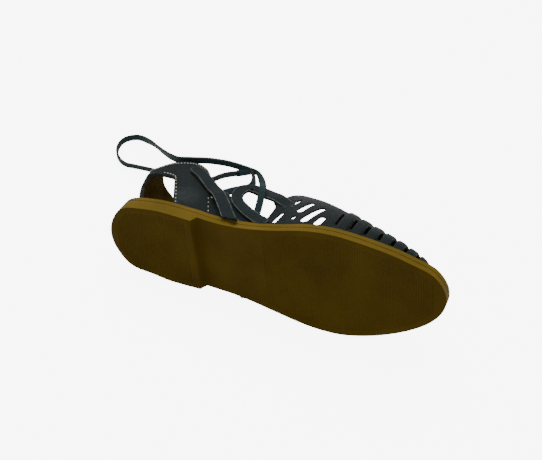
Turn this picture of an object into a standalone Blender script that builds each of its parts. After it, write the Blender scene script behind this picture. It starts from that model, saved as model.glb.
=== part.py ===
"""Flat lace-up sandal with a cut-out leather upper, left foot, lying on its outer side.

Every piece is modelled upright, in the shoe's own frame: x runs from the back of the
heel to the toe, y to the outer side and z up from the ground. One empty then lays the
whole shoe down on the outer edge of its sole and the outer side of its collar.
Lengths are in metres.
"""

import math

import bmesh
import bpy
import numpy as np
from mathutils import Matrix, Vector

SOLE_LENGTH = 0.2544
BALL_WIDTH = 0.0865
OUTSOLE_THICKNESS = 0.0042
MIDSOLE_THICKNESS = 0.0038
INSOLE_THICKNESS = 0.0018
INSOLE_TOE_INSET = 0.006
HEEL_LIFT = 0.0058
TOE_SPRING = 0.0014
SOLE_EDGE = 0.0007
HEEL_BREAST = 0.281 * SOLE_LENGTH
BREAST_SLOPE = 0.003
WAIST_END = 0.562 * SOLE_LENGTH
SPRING_START = 0.8 * SOLE_LENGTH

INSTEP_HEIGHT = 0.062
QUARTER_HEIGHT = 0.062
QUARTER_REACH = 0.079
UPPER_INSET = 0.0024
VAMP_LEATHER = 0.0020
QUARTER_LEATHER = 0.0026
FIT = 0.0003
LAST_FULLNESS = 2.4
THROAT_START = 0.477 * SOLE_LENGTH
THROAT_DEPTH = 0.085 * SOLE_LENGTH
TIP_ROUNDING = 0.90 * SOLE_LENGTH
TIP_FULLNESS = 2.2
TIP_INSET = 0.008
COLLAR_LEAN = 0.5
COLLAR_NARROWING = 0.093
HEEL_ROUND = 0.020
WINDOW_FRONT = 0.0486
WINDOW_HEIGHT = 0.037
WINDOW_CORNER = 0.006

BAND_RISE = 0.0012
BAND_COUNT = 8
BAND_START = 0.684 * SOLE_LENGTH
BAND_PITCH = 0.0417 * SOLE_LENGTH
BAND_NARROWING = 0.00165 * SOLE_LENGTH
BAND_GAP = 0.0094 * SOLE_LENGTH
BAND_EDGE = 0.0008

STRAP_WIDTH = 0.0092
STRAP_LEATHER = 0.0020
LOOP_WIDTH = 0.0086
LACE_WIDTH = 0.0052
LACE_THICKNESS = 0.0018
LACE_TUBE = 0.0036
NUDGE = 0.0002
SLOT_SIDES = 8
ROUND_END_SHARE = 0.18

INNER = -1
OUTER = 1

SOLE_OUTLINE = {
    "share": (0.04, 0.10, 0.18, 0.28, 0.40, 0.52, 0.64, 0.70, 0.78, 0.86, 0.93, 0.97),
    "inner": (0.276, 0.338, 0.347, 0.313, 0.310, 0.364, 0.430, 0.432, 0.398, 0.344, 0.268, 0.202),
    "outer": (0.269, 0.332, 0.381, 0.400, 0.412, 0.480, 0.557, 0.563, 0.516, 0.427, 0.311, 0.208),
}
LAST_SECTIONS = {
    "share": (0.235, 0.373, 0.431, 0.502, 0.569, 0.627, 0.686, 0.745, 0.804, 0.863, 0.922, 0.965),
    "height": (1.19, 1.11, 1.05, 1.00, 0.90, 0.79, 0.665, 0.550, 0.445, 0.340, 0.225, 0.130),
    "ridge": (0.02, 0.00, -0.03, -0.09, -0.116, -0.108, -0.09, -0.07, -0.05, -0.03, -0.01, 0.0),
}
BACK_PROFILE = {
    "height": (0.00, 0.04, 0.14, 0.26, 0.37, 0.48, 0.60, 0.69, 0.79, 0.90, 1.00),
    "shift": (0.0, 0.0, 0.045, 0.055, 0.000, -0.060, -0.098, -0.105, -0.085, -0.060, -0.050),
}
COLLAR = {
    "share": (0.0, 0.025, 0.05, 0.075, 0.10, 0.15, 0.20, 0.25, 0.33, 0.38, 0.50, 0.60, 0.72, 0.84, 0.934, 0.978, 1.0),
    INNER: (1.024, 1.008, 0.92, 0.825, 0.76, 0.732, 0.722, 0.72, 0.727, 0.74, 0.81, 0.905, 0.99, 1.03, 0.99,
            0.925, 0.83),
    OUTER: (1.024, 1.036, 1.044, 1.048, 1.045, 0.99, 0.86, 0.765, 0.735, 0.74, 0.81, 0.905, 0.99, 1.03, 0.99,
            0.925, 0.83),
}
VAMP_SLOTS = (
    # share of length and angle up the side at the low end, then at the high end, then the radii
    {"low": (0.520, 27), "high": (0.537, 39), "radii": (0.0020, 0.0016)},
    {"low": (0.558, 18), "high": (0.582, 36), "radii": (0.0031, 0.0024)},
    {"low": (0.594, 10), "high": (0.628, 28), "radii": (0.0038, 0.0024)},
    {"low": (0.636, 9), "high": (0.652, 18), "radii": (0.0032, 0.0029)},
    {"low": (0.510, 8), "high": (0.516, 17), "radii": (0.0018, 0.0016)},
    {"low": (0.552, 7), "high": (0.561, 10), "radii": (0.0024, 0.0016)},
)


def hermite(table, column, share):
    """Read a smooth curve through one column of a table."""
    shares = np.array(table["share"] if "share" in table else table["height"])
    values = np.array(table[column])
    slopes = np.gradient(values, shares)
    share = min(max(share, shares[0]), shares[-1])
    row = min(max(int(np.searchsorted(shares, share, side="right")) - 1, 0), len(shares) - 2)
    step = shares[row + 1] - shares[row]
    t = (share - shares[row]) / step
    start = (1 + 2 * t) * (1 - t) ** 2 * values[row] + t * (1 - t) ** 2 * step * slopes[row]
    end = t * t * (3 - 2 * t) * values[row + 1] + t * t * (t - 1) * step * slopes[row + 1]
    return float(start + end)


def round_end(table):
    """Turn half-widths into values that stay smooth where the outline closes."""
    shares = np.array(table["share"])
    curve = {"share": table["share"]}
    for column in ("inner", "outer"):
        curve[column] = tuple(np.array(table[column]) ** 2 / (shares * (1 - shares)))
    return curve


ROUNDED_OUTLINE = round_end(SOLE_OUTLINE)


def half_width(x, side, length=SOLE_LENGTH):
    """Half-width of the sole at x, to the inner or outer side."""
    share = min(max(x / length, 0.0), 1.0)
    column = "inner" if side == INNER else "outer"
    return BALL_WIDTH * math.sqrt(max(hermite(ROUNDED_OUTLINE, column, share) * share * (1 - share), 0.0))


def smoothstep(value, low, high):
    t = min(max((value - low) / (high - low), 0.0), 1.0)
    return t * t * (3 - 2 * t)


def arch(x):
    """Height of the sole's own underside: the heel seat, the waist and the toe spring."""
    waist = min(max((x - HEEL_BREAST) / (WAIST_END - HEEL_BREAST), 0.0), 1.0)
    toe = min(max((x - SPRING_START) / (SOLE_LENGTH - SPRING_START), 0.0), 1.0)
    return HEEL_LIFT * (1 - waist) ** 1.5 + TOE_SPRING * toe ** 2


def underside(x):
    """Height of what touches the ground: the heel block, then the arch."""
    return arch(x) * smoothstep(x, HEEL_BREAST - BREAST_SLOPE / 2, HEEL_BREAST + BREAST_SLOPE / 2)


def outsole_top(x):
    return arch(x) + OUTSOLE_THICKNESS


def midsole_bottom(x):
    return outsole_top(x) + FIT


def sole_top(x):
    return midsole_bottom(x) + MIDSOLE_THICKNESS


def seat(x):
    """Height at which the upper and the insole start, above the midsole."""
    return sole_top(x) + FIT


def above(height_of, rise):
    """A height function raised by a fixed amount."""
    return lambda x: height_of(x) + rise


def material(name, colour, roughness):
    new = bpy.data.materials.new(name)
    new.use_nodes = True
    shader = new.node_tree.nodes["Principled BSDF"]
    shader.inputs["Base Color"].default_value = (*colour, 1.0)
    shader.inputs["Roughness"].default_value = roughness
    new.diffuse_color = (*colour, 1.0)
    return new


def add_object(name, mesh, collection, parent, finish=None):
    new = bpy.data.objects.new(name, mesh)
    collection.objects.link(new)
    new.parent = parent
    if finish:
        mesh.materials.append(finish)
    return new


def mesh_from(name, shape):
    """Close, orient and keep a bmesh as mesh data."""
    bmesh.ops.remove_doubles(shape, verts=shape.verts, dist=0.00001)
    bmesh.ops.recalc_face_normals(shape, faces=shape.faces)
    mesh = bpy.data.meshes.new(name)
    shape.to_mesh(mesh)
    shape.free()
    mesh.shade_smooth()
    mesh.set_sharp_from_angle(angle=math.radians(35))
    return mesh


def skin(name, outside, inside, open_cells=()):
    """A wall between two grids of points, with holes where cells are left open."""
    rows, columns = len(outside), len(outside[0])
    shape = bmesh.new()
    outer = [[shape.verts.new(p) for p in row] for row in outside]
    inner = [[shape.verts.new(p) for p in row] for row in inside]
    kept = {(i, j) for i in range(rows - 1) for j in range(columns - 1)} - set(open_cells)
    for i, j in sorted(kept):
        k = i + 1
        shape.faces.new((outer[i][j], outer[k][j], outer[k][j + 1], outer[i][j + 1]))
        shape.faces.new((inner[i][j], inner[i][j + 1], inner[k][j + 1], inner[k][j]))
        sides = (
            ((i - 1, j), (i, j), (i, j + 1)),
            ((k, j), (k, j + 1), (k, j)),
            ((i, j - 1), (k, j), (i, j)),
            ((i, j + 1), (i, j + 1), (k, j + 1)),
        )
        for neighbour, a, b in sides:
            if neighbour not in kept:
                shape.faces.new((outer[a[0]][a[1]], outer[b[0]][b[1]], inner[b[0]][b[1]], inner[a[0]][a[1]]))
    return mesh_from(name, shape)


def stations(count=44):
    """Lengthwise places along the sole, closer at its ends and at the heel breast."""
    breast = (HEEL_BREAST - BREAST_SLOPE / 2, HEEL_BREAST + BREAST_SLOPE / 2)
    places = [SOLE_LENGTH / 2 * (1 - math.cos(math.pi * k / count)) for k in range(count + 1)]
    places = [x for x in places if not breast[0] - BREAST_SLOPE < x < breast[1] + BREAST_SLOPE]
    return sorted(places + list(breast))


def outline_ring(inset, toe_inset=0.0):
    """The sole's outline moved in by inset, and more at the toe: (station, point) rows for each side."""
    places = stations()
    sides = {}
    for side in (INNER, OUTER):
        row = []
        for x in places:
            low, high = max(x - NUDGE, 0.0), min(x + NUDGE, SOLE_LENGTH)
            along = Vector((high - low, side * (half_width(high, side) - half_width(low, side))))
            if x == places[0]:
                along = Vector((0.0, side))
            if x == places[-1]:
                along = Vector((0.0, -side))
            along.normalize()
            outward = Vector((-along.y, along.x)) * side
            moved = outward * (inset + toe_inset * smoothstep(x, 0.85 * SOLE_LENGTH, SOLE_LENGTH))
            row.append((x, Vector((x, side * half_width(x, side))) - moved))
        sides[side] = row
    return sides


def layer(name, rings, toe_inset=0.0):
    """A flat layer of the sole: rings of (inset, height function) from the bottom to the top."""
    shape = bmesh.new()
    levels = []
    for inset, height_of in rings:
        sides = outline_ring(inset, toe_inset)
        level = {}
        for side, row in sides.items():
            level[side] = [shape.verts.new((p.x, p.y, height_of(x))) for x, p in row]
        levels.append(level)
    count = len(stations())
    for low, high in zip(levels, levels[1:]):
        for side in (INNER, OUTER):
            for k in range(count - 1):
                quad = (low[side][k], low[side][k + 1], high[side][k + 1], high[side][k])
                shape.faces.new(quad)
    for level in (levels[0], levels[-1]):
        for k in range(count - 1):
            quad = (level[INNER][k], level[INNER][k + 1], level[OUTER][k + 1], level[OUTER][k])
            shape.faces.new(quad)
    return mesh_from(name, shape)


def upper_half_width(x, side):
    """Half-width of the upper where it stands on the sole."""
    length = SOLE_LENGTH - 2 * UPPER_INSET
    return max(half_width(x - UPPER_INSET, side, length) - 0.9 * UPPER_INSET, 0.0)


def last_point(x, angle, lift=0.0):
    """A point on the foot's form at x, from 0 degrees at the inner side to 180 at the outer."""
    tip = SOLE_LENGTH - TIP_INSET + lift
    share = x / SOLE_LENGTH
    height = INSTEP_HEIGHT * hermite(LAST_SECTIONS, "height", share)
    ridge = BALL_WIDTH * hermite(LAST_SECTIONS, "ridge", share)
    left = min(max((tip - x) / (tip - TIP_ROUNDING), 0.0), 1.0)
    closing = (1 - (1 - left) ** TIP_FULLNESS) ** (1 / TIP_FULLNESS)
    height *= closing
    across, up = math.cos(math.radians(angle)), math.sin(math.radians(angle))
    side = INNER if across > 0 else OUTER
    reach = max(upper_half_width(x, side) + lift, 0.0) * closing
    half = max(reach - side * ridge, 0.0)
    power = 2 / LAST_FULLNESS
    y = ridge + side * half * abs(across) ** power
    z = seat(x) + max(height + lift, 0.0) * max(up, 0.0) ** power
    return Vector((x, y, z))


def last_normal(x, angle):
    """Outward direction of the foot's form."""
    along = last_point(x + NUDGE, angle) - last_point(x - NUDGE, angle)
    around = last_point(x, min(angle + 1, 179)) - last_point(x, max(angle - 1, 1))
    normal = around.cross(along) * -1
    return normal.normalized()


def throat(angle):
    """Where the vamp starts: a U-shaped throat that runs forward over the ridge."""
    return THROAT_START + THROAT_DEPTH * math.sin(math.radians(angle)) ** 4


def band_gap(index):
    """Centre of the gap in front of a toe band."""
    return BAND_START + index * BAND_PITCH - BAND_NARROWING * index * (index - 1) / 2


def vamp_stations():
    """Lengthwise rows of the vamp: (share of the plain part or None, x, rise, gap row)."""
    rows = []
    plain_rows = 8
    first_gap = band_gap(0) - BAND_GAP / 2
    for k in range(plain_rows):
        rows.append((k / plain_rows, first_gap, 0.0, False))
    for band in range(BAND_COUNT):
        start = band_gap(band) + BAND_GAP / 2
        rows.append((None, band_gap(band) - BAND_GAP / 2, 0.0, True))
        rows.append((None, start, 0.0, False))
        if band < BAND_COUNT - 1:
            end = band_gap(band + 1) - BAND_GAP / 2
            rows.append((None, start + BAND_EDGE, BAND_RISE, False))
            rows.append((None, (start + end) / 2, BAND_RISE * 1.2, False))
            rows.append((None, end - BAND_EDGE, BAND_RISE, False))
    last_start = band_gap(BAND_COUNT - 1) + BAND_GAP / 2
    tip = SOLE_LENGTH - TIP_INSET
    tip_rows = 5
    for k in range(1, tip_rows + 1):
        turn = math.pi / 2 * k / tip_rows
        rows.append((None, last_start + (tip - last_start) * math.sin(turn), BAND_RISE * math.cos(turn), False))
    return rows


ANGLES = (0, 6, 14, 23, 32, 43, 55, 68, 80, 90, 100, 112, 125, 137, 148, 157, 166, 174, 180)
OPEN_ANGLES = ((6, 32), (148, 174))


def vamp_mesh():
    """The hollow vamp: plain at the throat, with raised bands over the toes."""
    rows = vamp_stations()
    tip = SOLE_LENGTH - TIP_INSET
    outside, inside, open_cells = [], [], []
    for i, (plain, x, rise, gap_row) in enumerate(rows):
        outer_row, inner_row = [], []
        for angle in ANGLES:
            start = throat(angle)
            place = x if plain is None else start + (x - start) * plain
            shrink = (tip - VAMP_LEATHER - throat(90)) / (tip - throat(90))
            inner_place = place if place < throat(90) else throat(90) + (place - throat(90)) * shrink
            outer_row.append(last_point(place, angle, rise if place < tip else 0.0))
            inner_row.append(last_point(inner_place, angle, -VAMP_LEATHER))
        outside.append(outer_row)
        inside.append(inner_row)
        if gap_row:
            for j, (low, high) in enumerate(zip(ANGLES, ANGLES[1:])):
                if any(start <= low and high <= end for start, end in OPEN_ANGLES):
                    open_cells.append((i, j))
    return skin("vamp", outside, inside, open_cells)


def hull(name, points, collection, parent):
    """A cutter: the convex hull of a few points."""
    shape = bmesh.new()
    for point in points:
        shape.verts.new(point)
    bmesh.ops.convex_hull(shape, input=shape.verts)
    loose = [v for v in shape.verts if not v.link_faces]
    bmesh.ops.delete(shape, geom=loose, context="VERTS")
    cutter = add_object(name, mesh_from(name, shape), collection, parent)
    cutter.hide_render = True
    cutter.display_type = "WIRE"
    return cutter


def slot_cutter(name, slot, side, collection, parent):
    """A long hole with round ends, cut straight through the vamp's wall."""
    points = []
    for (share, angle), radius in zip((slot["low"], slot["high"]), slot["radii"]):
        x = share * SOLE_LENGTH
        angle = angle if side == INNER else 180 - angle
        centre, normal = last_point(x, angle), last_normal(x, angle)
        along = normal.orthogonal().normalized()
        across = normal.cross(along)
        for k in range(SLOT_SIDES):
            turn = 2 * math.pi * k / SLOT_SIDES
            rim = centre + radius * (math.cos(turn) * along + math.sin(turn) * across)
            points.append(rim + normal * 2 * VAMP_LEATHER)
            points.append(rim - normal * 4 * VAMP_LEATHER)
    return hull(name, points, collection, parent)


def cut(target, cutter):
    modifier = target.modifiers.new(cutter.name, "BOOLEAN")
    modifier.operation = "DIFFERENCE"
    modifier.object = cutter


def collar_height(base, side):
    """Height of the collar's edge for a place along the base of the quarters."""
    return seat(base) + QUARTER_HEIGHT * hermite(COLLAR, side, base / QUARTER_REACH)


def rear_point(base, side, z, lift=0.0):
    """A point on the quarters: the heel's outline, leaning back and in as it rises."""
    low, high = max(base - NUDGE, 0.0), base + NUDGE
    start = Vector((low, side * rear_reach(low, side)))
    end = Vector((high, side * rear_reach(high, side)))
    along = (end - start).normalized() if base > 0 else Vector((0.0, side))
    outward = Vector((-along.y, along.x)) * side
    rounded = 1 - smoothstep(base, 0.0, HEEL_ROUND)
    plan = Vector((base + UPPER_INSET * rounded, side * rear_reach(base, side)))
    plan += outward * lift
    rise = z - seat(0.0)
    back = QUARTER_HEIGHT * hermite(BACK_PROFILE, "shift", rise / QUARTER_HEIGHT)
    sideways = smoothstep(base, 0.02 * SOLE_LENGTH, 0.16 * SOLE_LENGTH)
    shift = back * (1 - sideways) - COLLAR_LEAN * rise * sideways
    return Vector((plan.x + shift, plan.y * (1 - COLLAR_NARROWING * rise / QUARTER_HEIGHT), z))


def rear_reach(base, side):
    """Half-width of the quarters at their base."""
    return max(half_width(base, side) - UPPER_INSET * smoothstep(base, 0.0, HEEL_ROUND), 0.0)


def quarters_mesh():
    """Both quarters and the strip around the back of the heel, as one wall."""
    steps = 18
    rises = 9
    outside, inside = [], []
    for k in range(-steps, steps + 1):
        side = INNER if k < 0 else OUTER
        base = QUARTER_REACH * math.sin(math.pi / 2 * abs(k) / steps) ** 2
        foot, top = seat(base), collar_height(base, side)
        heights = [foot + (top - foot) * j / rises for j in range(rises + 1)]
        outside.append([rear_point(base, side, z) for z in heights])
        inside.append([rear_point(base, side, z, -QUARTER_LEATHER) for z in heights])
    return skin("heel_quarters", outside, inside)


def side_point(x, z, side, lift):
    """A point over the quarters, given in side view."""
    base = x + COLLAR_LEAN * (z - seat(0.0))
    return rear_point(base, side, z, lift)


WINDOW_BACK_EDGE = {
    # back edge of the window in side view, from its top to its foot, in shares of the window's front
    "height": (1.0, 0.946, 0.838, 0.811, 0.486, -0.1),
    OUTER: (0.500, 0.420, 0.370, 0.380, 0.490, 0.620),
    INNER: (0.206, 0.103, 0.051, 0.062, 0.154, 0.237),
}


def window_cutter(name, side, collection, parent):
    """The window between the quarter and the back strip, open down to the sole."""
    foot = seat(0.0)
    outline = [(WINDOW_FRONT + WINDOW_CORNER / 3, foot - 0.1 * WINDOW_HEIGHT)]
    centre_x = WINDOW_FRONT - COLLAR_LEAN * (WINDOW_HEIGHT - WINDOW_CORNER) - WINDOW_CORNER
    centre_z = foot + WINDOW_HEIGHT - WINDOW_CORNER
    for k in range(5):
        turn = math.pi / 2 * k / 4
        outline.append((centre_x + WINDOW_CORNER * math.cos(turn), centre_z + WINDOW_CORNER * math.sin(turn)))
    for height, edge in zip(WINDOW_BACK_EDGE["height"], WINDOW_BACK_EDGE[side]):
        outline.append((edge * WINDOW_FRONT, foot + height * WINDOW_HEIGHT))
    shape = bmesh.new()
    near, far = side * BALL_WIDTH / 10, side * BALL_WIDTH
    face = shape.faces.new([shape.verts.new((x, near, z)) for x, z in outline])
    grown = bmesh.ops.extrude_face_region(shape, geom=[face])
    moved = [g for g in grown["geom"] if isinstance(g, bmesh.types.BMVert)]
    bmesh.ops.translate(shape, verts=moved, vec=(0.0, far - near, 0.0))
    cutter = add_object(name, mesh_from(name, shape), collection, parent)
    cutter.hide_render = True
    cutter.display_type = "WIRE"
    return cutter


def smooth_route(points, count):
    """Evenly spaced places on a smooth curve through a few points."""
    route = [Vector(p) for p in points]
    ends = [route[0] * 2 - route[1], *route, route[-1] * 2 - route[-2]]
    fine = []
    for a, b, c, d in zip(ends, ends[1:], ends[2:], ends[3:]):
        for k in range(12):
            t = k / 12
            fine.append(0.5 * (2 * b + (c - a) * t + (2 * a - 5 * b + 4 * c - d) * t ** 2
                               + (3 * b - 3 * c + d - a) * t ** 3))
    fine.append(route[-1])
    marks = [0.0]
    for p, q in zip(fine, fine[1:]):
        marks.append(marks[-1] + (q - p).length)
    places, cursor = [], 0
    for k in range(count):
        mark = marks[-1] * k / (count - 1)
        while cursor < len(marks) - 2 and marks[cursor + 1] < mark:
            cursor += 1
        span = max(marks[cursor + 1] - marks[cursor], 1e-9)
        places.append(fine[cursor].lerp(fine[cursor + 1], min((mark - marks[cursor]) / span, 1.0)))
    return places


def ribbon(name, centres, normals, width, thickness, floor=None):
    """A flat strap with round ends along a route, kept above a floor height where one is given."""
    count = len(centres)
    lengths = [0.0]
    for p, q in zip(centres, centres[1:]):
        lengths.append(lengths[-1] + (q - p).length)
    outside, inside = [], []
    for k, (centre, normal) in enumerate(zip(centres, normals)):
        along = (centres[min(k + 1, count - 1)] - centres[max(k - 1, 0)]).normalized()
        across = normal.cross(along).normalized()
        normal = along.cross(across).normalized()
        left = min(lengths[k], lengths[-1] - lengths[k], width / 2)
        half = max(math.sqrt((width / 2) ** 2 - (width / 2 - left) ** 2), ROUND_END_SHARE * width)
        row = [centre + across * half * s for s in (-1.0, 0.0, 1.0)]
        if floor:
            for point, spare in zip(row, sorted((0, 1, 2), reverse=across.z < 0)):
                point.z = max(point.z, floor(point.x) + FIT + spare * thickness / 2)
        outside.append([p + normal * thickness / 2 for p in row])
        inside.append([p - normal * thickness / 2 for p in row])
    return skin(name, outside, inside)


QUARTER_STRAP_ROUTE = (
    # side view, in shares of the sole's length and of the quarter's height over the seat
    (0.164, 0.830), (0.206, 0.680), (0.250, 0.510), (0.288, 0.365), (0.320, 0.225), (0.350, 0.070),
)
OVER_LOOP_START = 0.25 * SOLE_LENGTH
OVER_LOOP_END = 0.30 * SOLE_LENGTH


def quarter_strap_mesh(name, side):
    """The band that runs from the top of the quarter down and forward to the sole."""
    lift = FIT + STRAP_LEATHER / 2 + NUDGE
    route = [(share * SOLE_LENGTH, 0.0, rise * QUARTER_HEIGHT) for share, rise in QUARTER_STRAP_ROUTE]
    flat = smooth_route(route, 26)
    centres, normals = [], []
    for p in flat:
        z = seat(0.0) + p.z
        over_loop = smoothstep(p.x, OVER_LOOP_START, OVER_LOOP_END)
        centres.append(side_point(p.x, z, side, lift + over_loop * (STRAP_LEATHER + 5 * FIT)))
        along = side_point(p.x + NUDGE, z, side, lift) - side_point(p.x - NUDGE, z, side, lift)
        up = side_point(p.x, z + NUDGE, side, lift) - side_point(p.x, z - NUDGE, side, lift)
        normals.append((along.cross(up) * -side).normalized())
    return ribbon(name, centres, normals, STRAP_WIDTH, STRAP_LEATHER)


# Routes on the foot's form: share of the sole's length, and degrees up the side.
INSTEP_LOOP_ROUTE = (
    (0.500, 26.5), (0.465, 31.5), (0.430, 36), (0.395, 39.5), (0.369, 40.5), (0.349, 38.5), (0.336, 33),
    (0.336, 26), (0.344, 19.5), (0.362, 14), (0.393, 9.5), (0.430, 6), (0.470, 3),
)
WAIST_STRAP_ROUTE = (
    (0.285, 21), (0.314, 16.5), (0.346, 11.5), (0.377, 7), (0.405, 3.5), (0.430, 1.5),
)


def side_strap_mesh(name, side, route, count, width, lift):
    """A strap that lies along the foot's form, on its inner or outer side, down to the sole."""
    places = smooth_route([(share, angle / 100, 0.0) for share, angle in route], count)
    centres, normals = [], []
    for place in places:
        x = place.x * SOLE_LENGTH
        angle = place.y * 100 if side == INNER else 180 - place.y * 100
        normal = last_normal(x, angle)
        centres.append(last_point(x, angle) + normal * lift)
        normals.append(normal)
    return ribbon(name, centres, normals, width, STRAP_LEATHER, seat)


# Routes of the lace, by hand, in the shoe's own metres: x, y, z.
LACE_CROSSING_ROUTE = (
    (0.0690, -0.0195, 0.0870), (0.0760, -0.0195, 0.0860), (0.0832, -0.0197, 0.0838), (0.0880, -0.0202, 0.0792),
    (0.0930, -0.0214, 0.0720), (0.0978, -0.0240, 0.0635), (0.1022, -0.0268, 0.0545), (0.1052, -0.0274, 0.0455),
    (0.1068, -0.0238, 0.0370), (0.1078, -0.0210, 0.0290), (0.1085, -0.0202, 0.0200), (0.1090, -0.0202, 0.0150),
)
LACE_RETURN_ROUTE = (
    (0.0800, -0.0188, 0.0840), (0.0824, -0.0172, 0.0800), (0.0846, -0.0164, 0.0750), (0.0850, -0.0160, 0.0700),
    (0.0825, -0.0160, 0.0655), (0.0785, -0.0163, 0.0622), (0.0750, -0.0166, 0.0590), (0.0714, -0.0170, 0.0550),
    (0.0692, -0.0172, 0.0510), (0.0680, -0.0172, 0.0460),
)
LACE_JOIN_ROUTE = (
    (0.0690, -0.0172, 0.0818), (0.0735, -0.0174, 0.0834), (0.0790, -0.0180, 0.0842), (0.0825, -0.0184, 0.0840),
)
ANKLE_LACE_ROUTE = (
    (0.0683, -0.0195, 0.0871), (0.0590, -0.0198, 0.0884), (0.0510, -0.0206, 0.0877), (0.0420, -0.0213, 0.0862),
    (0.0340, -0.0214, 0.0845), (0.0250, -0.0212, 0.0828), (0.0160, -0.0202, 0.0826), (0.0070, -0.0176, 0.0880),
    (-0.0030, -0.0138, 0.0965), (-0.0140, -0.0092, 0.1070), (-0.0260, -0.0042, 0.1190), (-0.0380, 0.0006, 0.1305),
    (-0.0500, 0.0052, 0.1405), (-0.0600, 0.0086, 0.1478), (-0.0680, 0.0100, 0.1500), (-0.0745, 0.0098, 0.1445),
    (-0.0760, 0.0100, 0.1360), (-0.0730, 0.0108, 0.1255), (-0.0660, 0.0120, 0.1165), (-0.0571, 0.0134, 0.1115),
    (-0.0460, 0.0149, 0.1125), (-0.0350, 0.0155, 0.1125), (-0.0240, 0.0125, 0.1070), (-0.0120, 0.0080, 0.0990),
    (0.0040, 0.0015, 0.0890), (0.0200, -0.0060, 0.0790), (0.0340, -0.0120, 0.0705), (0.0450, -0.0158, 0.0660),
    (0.0530, -0.0178, 0.0665), (0.0592, -0.0184, 0.0732), (0.0636, -0.0176, 0.0782), (0.0683, -0.0172, 0.0814),
)
CROSSING_FACE = ((0.15, -0.90, 0.45), (0.55, -0.80, 0.10), (0.30, -0.95, 0.0))
RETURN_FACE = ((0.75, 0.10, -0.10), (0.60, -0.30, -0.30), (0.20, -0.90, 0.10))
JOIN_FACE = ((-0.20, -0.60, 0.75), (-0.10, -0.75, 0.65), (0.10, -0.90, 0.45))


def lace_strand_mesh(name, route, faces, count):
    """One flat strand of lace, whose face turns from the first direction to the last."""
    centres = smooth_route(route, count)
    turns = smooth_route(faces, count)
    normals = []
    for k, face in enumerate(turns):
        along = (centres[min(k + 1, count - 1)] - centres[max(k - 1, 0)]).normalized()
        normals.append((face - along * face.dot(along)).normalized())
    return ribbon(name, centres, normals, LACE_WIDTH, LACE_THICKNESS)


def lace_crossing(collection, cutters, parent, finish):
    """The lace over the inner loop, back behind it and along the ankle, joined where it crosses."""
    mesh = lace_strand_mesh("lace_crossing", LACE_CROSSING_ROUTE, CROSSING_FACE, 28)
    crossing = add_object("lace_crossing", mesh, collection, parent, finish)
    for name, route, faces, count in (
        ("lace_return", LACE_RETURN_ROUTE, RETURN_FACE, 20),
        ("lace_join", LACE_JOIN_ROUTE, JOIN_FACE, 9),
    ):
        strand = add_object(name, lace_strand_mesh(name, route, faces, count), cutters, parent)
        strand.hide_render = True
        strand.display_type = "WIRE"
        joining = crossing.modifiers.new(name, "BOOLEAN")
        joining.operation = "UNION"
        joining.object = strand
    return crossing


def ankle_lace(collection, parent, finish):
    """The free loop of lace behind the heel: a tube along a smooth route on the floor."""
    points = smooth_route(ANKLE_LACE_ROUTE, 54)
    curve = bpy.data.curves.new("ankle_lace", "CURVE")
    curve.dimensions = "3D"
    curve.bevel_depth = LACE_TUBE / 2
    curve.bevel_resolution = 2
    curve.use_fill_caps = True
    spline = curve.splines.new("POLY")
    spline.points.add(len(points) - 1)
    for point, place in zip(spline.points, points):
        point.co = (*place, 1.0)
    return add_object("ankle_lace", curve, collection, parent, finish)


def lay_on_side():
    """Rotation that rests the outer edge of the sole and the outer collar on the floor."""
    edge = [(x, half_width(x, OUTER)) for x in (SOLE_LENGTH * k / 100 for k in range(8, 90))]
    heel, ball = edge[0], edge[-1]
    for _ in range(4):
        slope = (ball[1] - heel[1]) / (ball[0] - heel[0])
        heel = max((e for e in edge if e[0] < 0.35 * SOLE_LENGTH), key=lambda e: e[1] - slope * e[0])
        ball = max((e for e in edge if e[0] > 0.55 * SOLE_LENGTH), key=lambda e: e[1] - slope * e[0])
    heel = Vector((*heel, sole_top(heel[0])))
    ball = Vector((*ball, sole_top(ball[0])))
    collar = rear_point(0.84 * QUARTER_REACH, OUTER, collar_height(0.84 * QUARTER_REACH, OUTER))
    up = (ball - heel).cross(collar - heel).normalized()
    up = up if up.y < 0 else -up
    forward = (ball - heel).normalized()
    return Matrix((forward, up.cross(forward), up)).to_4x4()


def place_on_floor(frame, parts):
    """Centre the shoe over the origin, with its lowest point on the floor."""
    bpy.context.view_layer.update()
    corners = []
    graph = bpy.context.evaluated_depsgraph_get()
    for part in parts:
        mesh = part.evaluated_get(graph).data
        corners += [part.matrix_world @ v.co for v in mesh.vertices]
    low = Vector([min(c[axis] for c in corners) for axis in range(3)])
    high = Vector([max(c[axis] for c in corners) for axis in range(3)])
    frame.location = Vector((-(low.x + high.x) / 2, -(low.y + high.y) / 2, -low.z))


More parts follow.
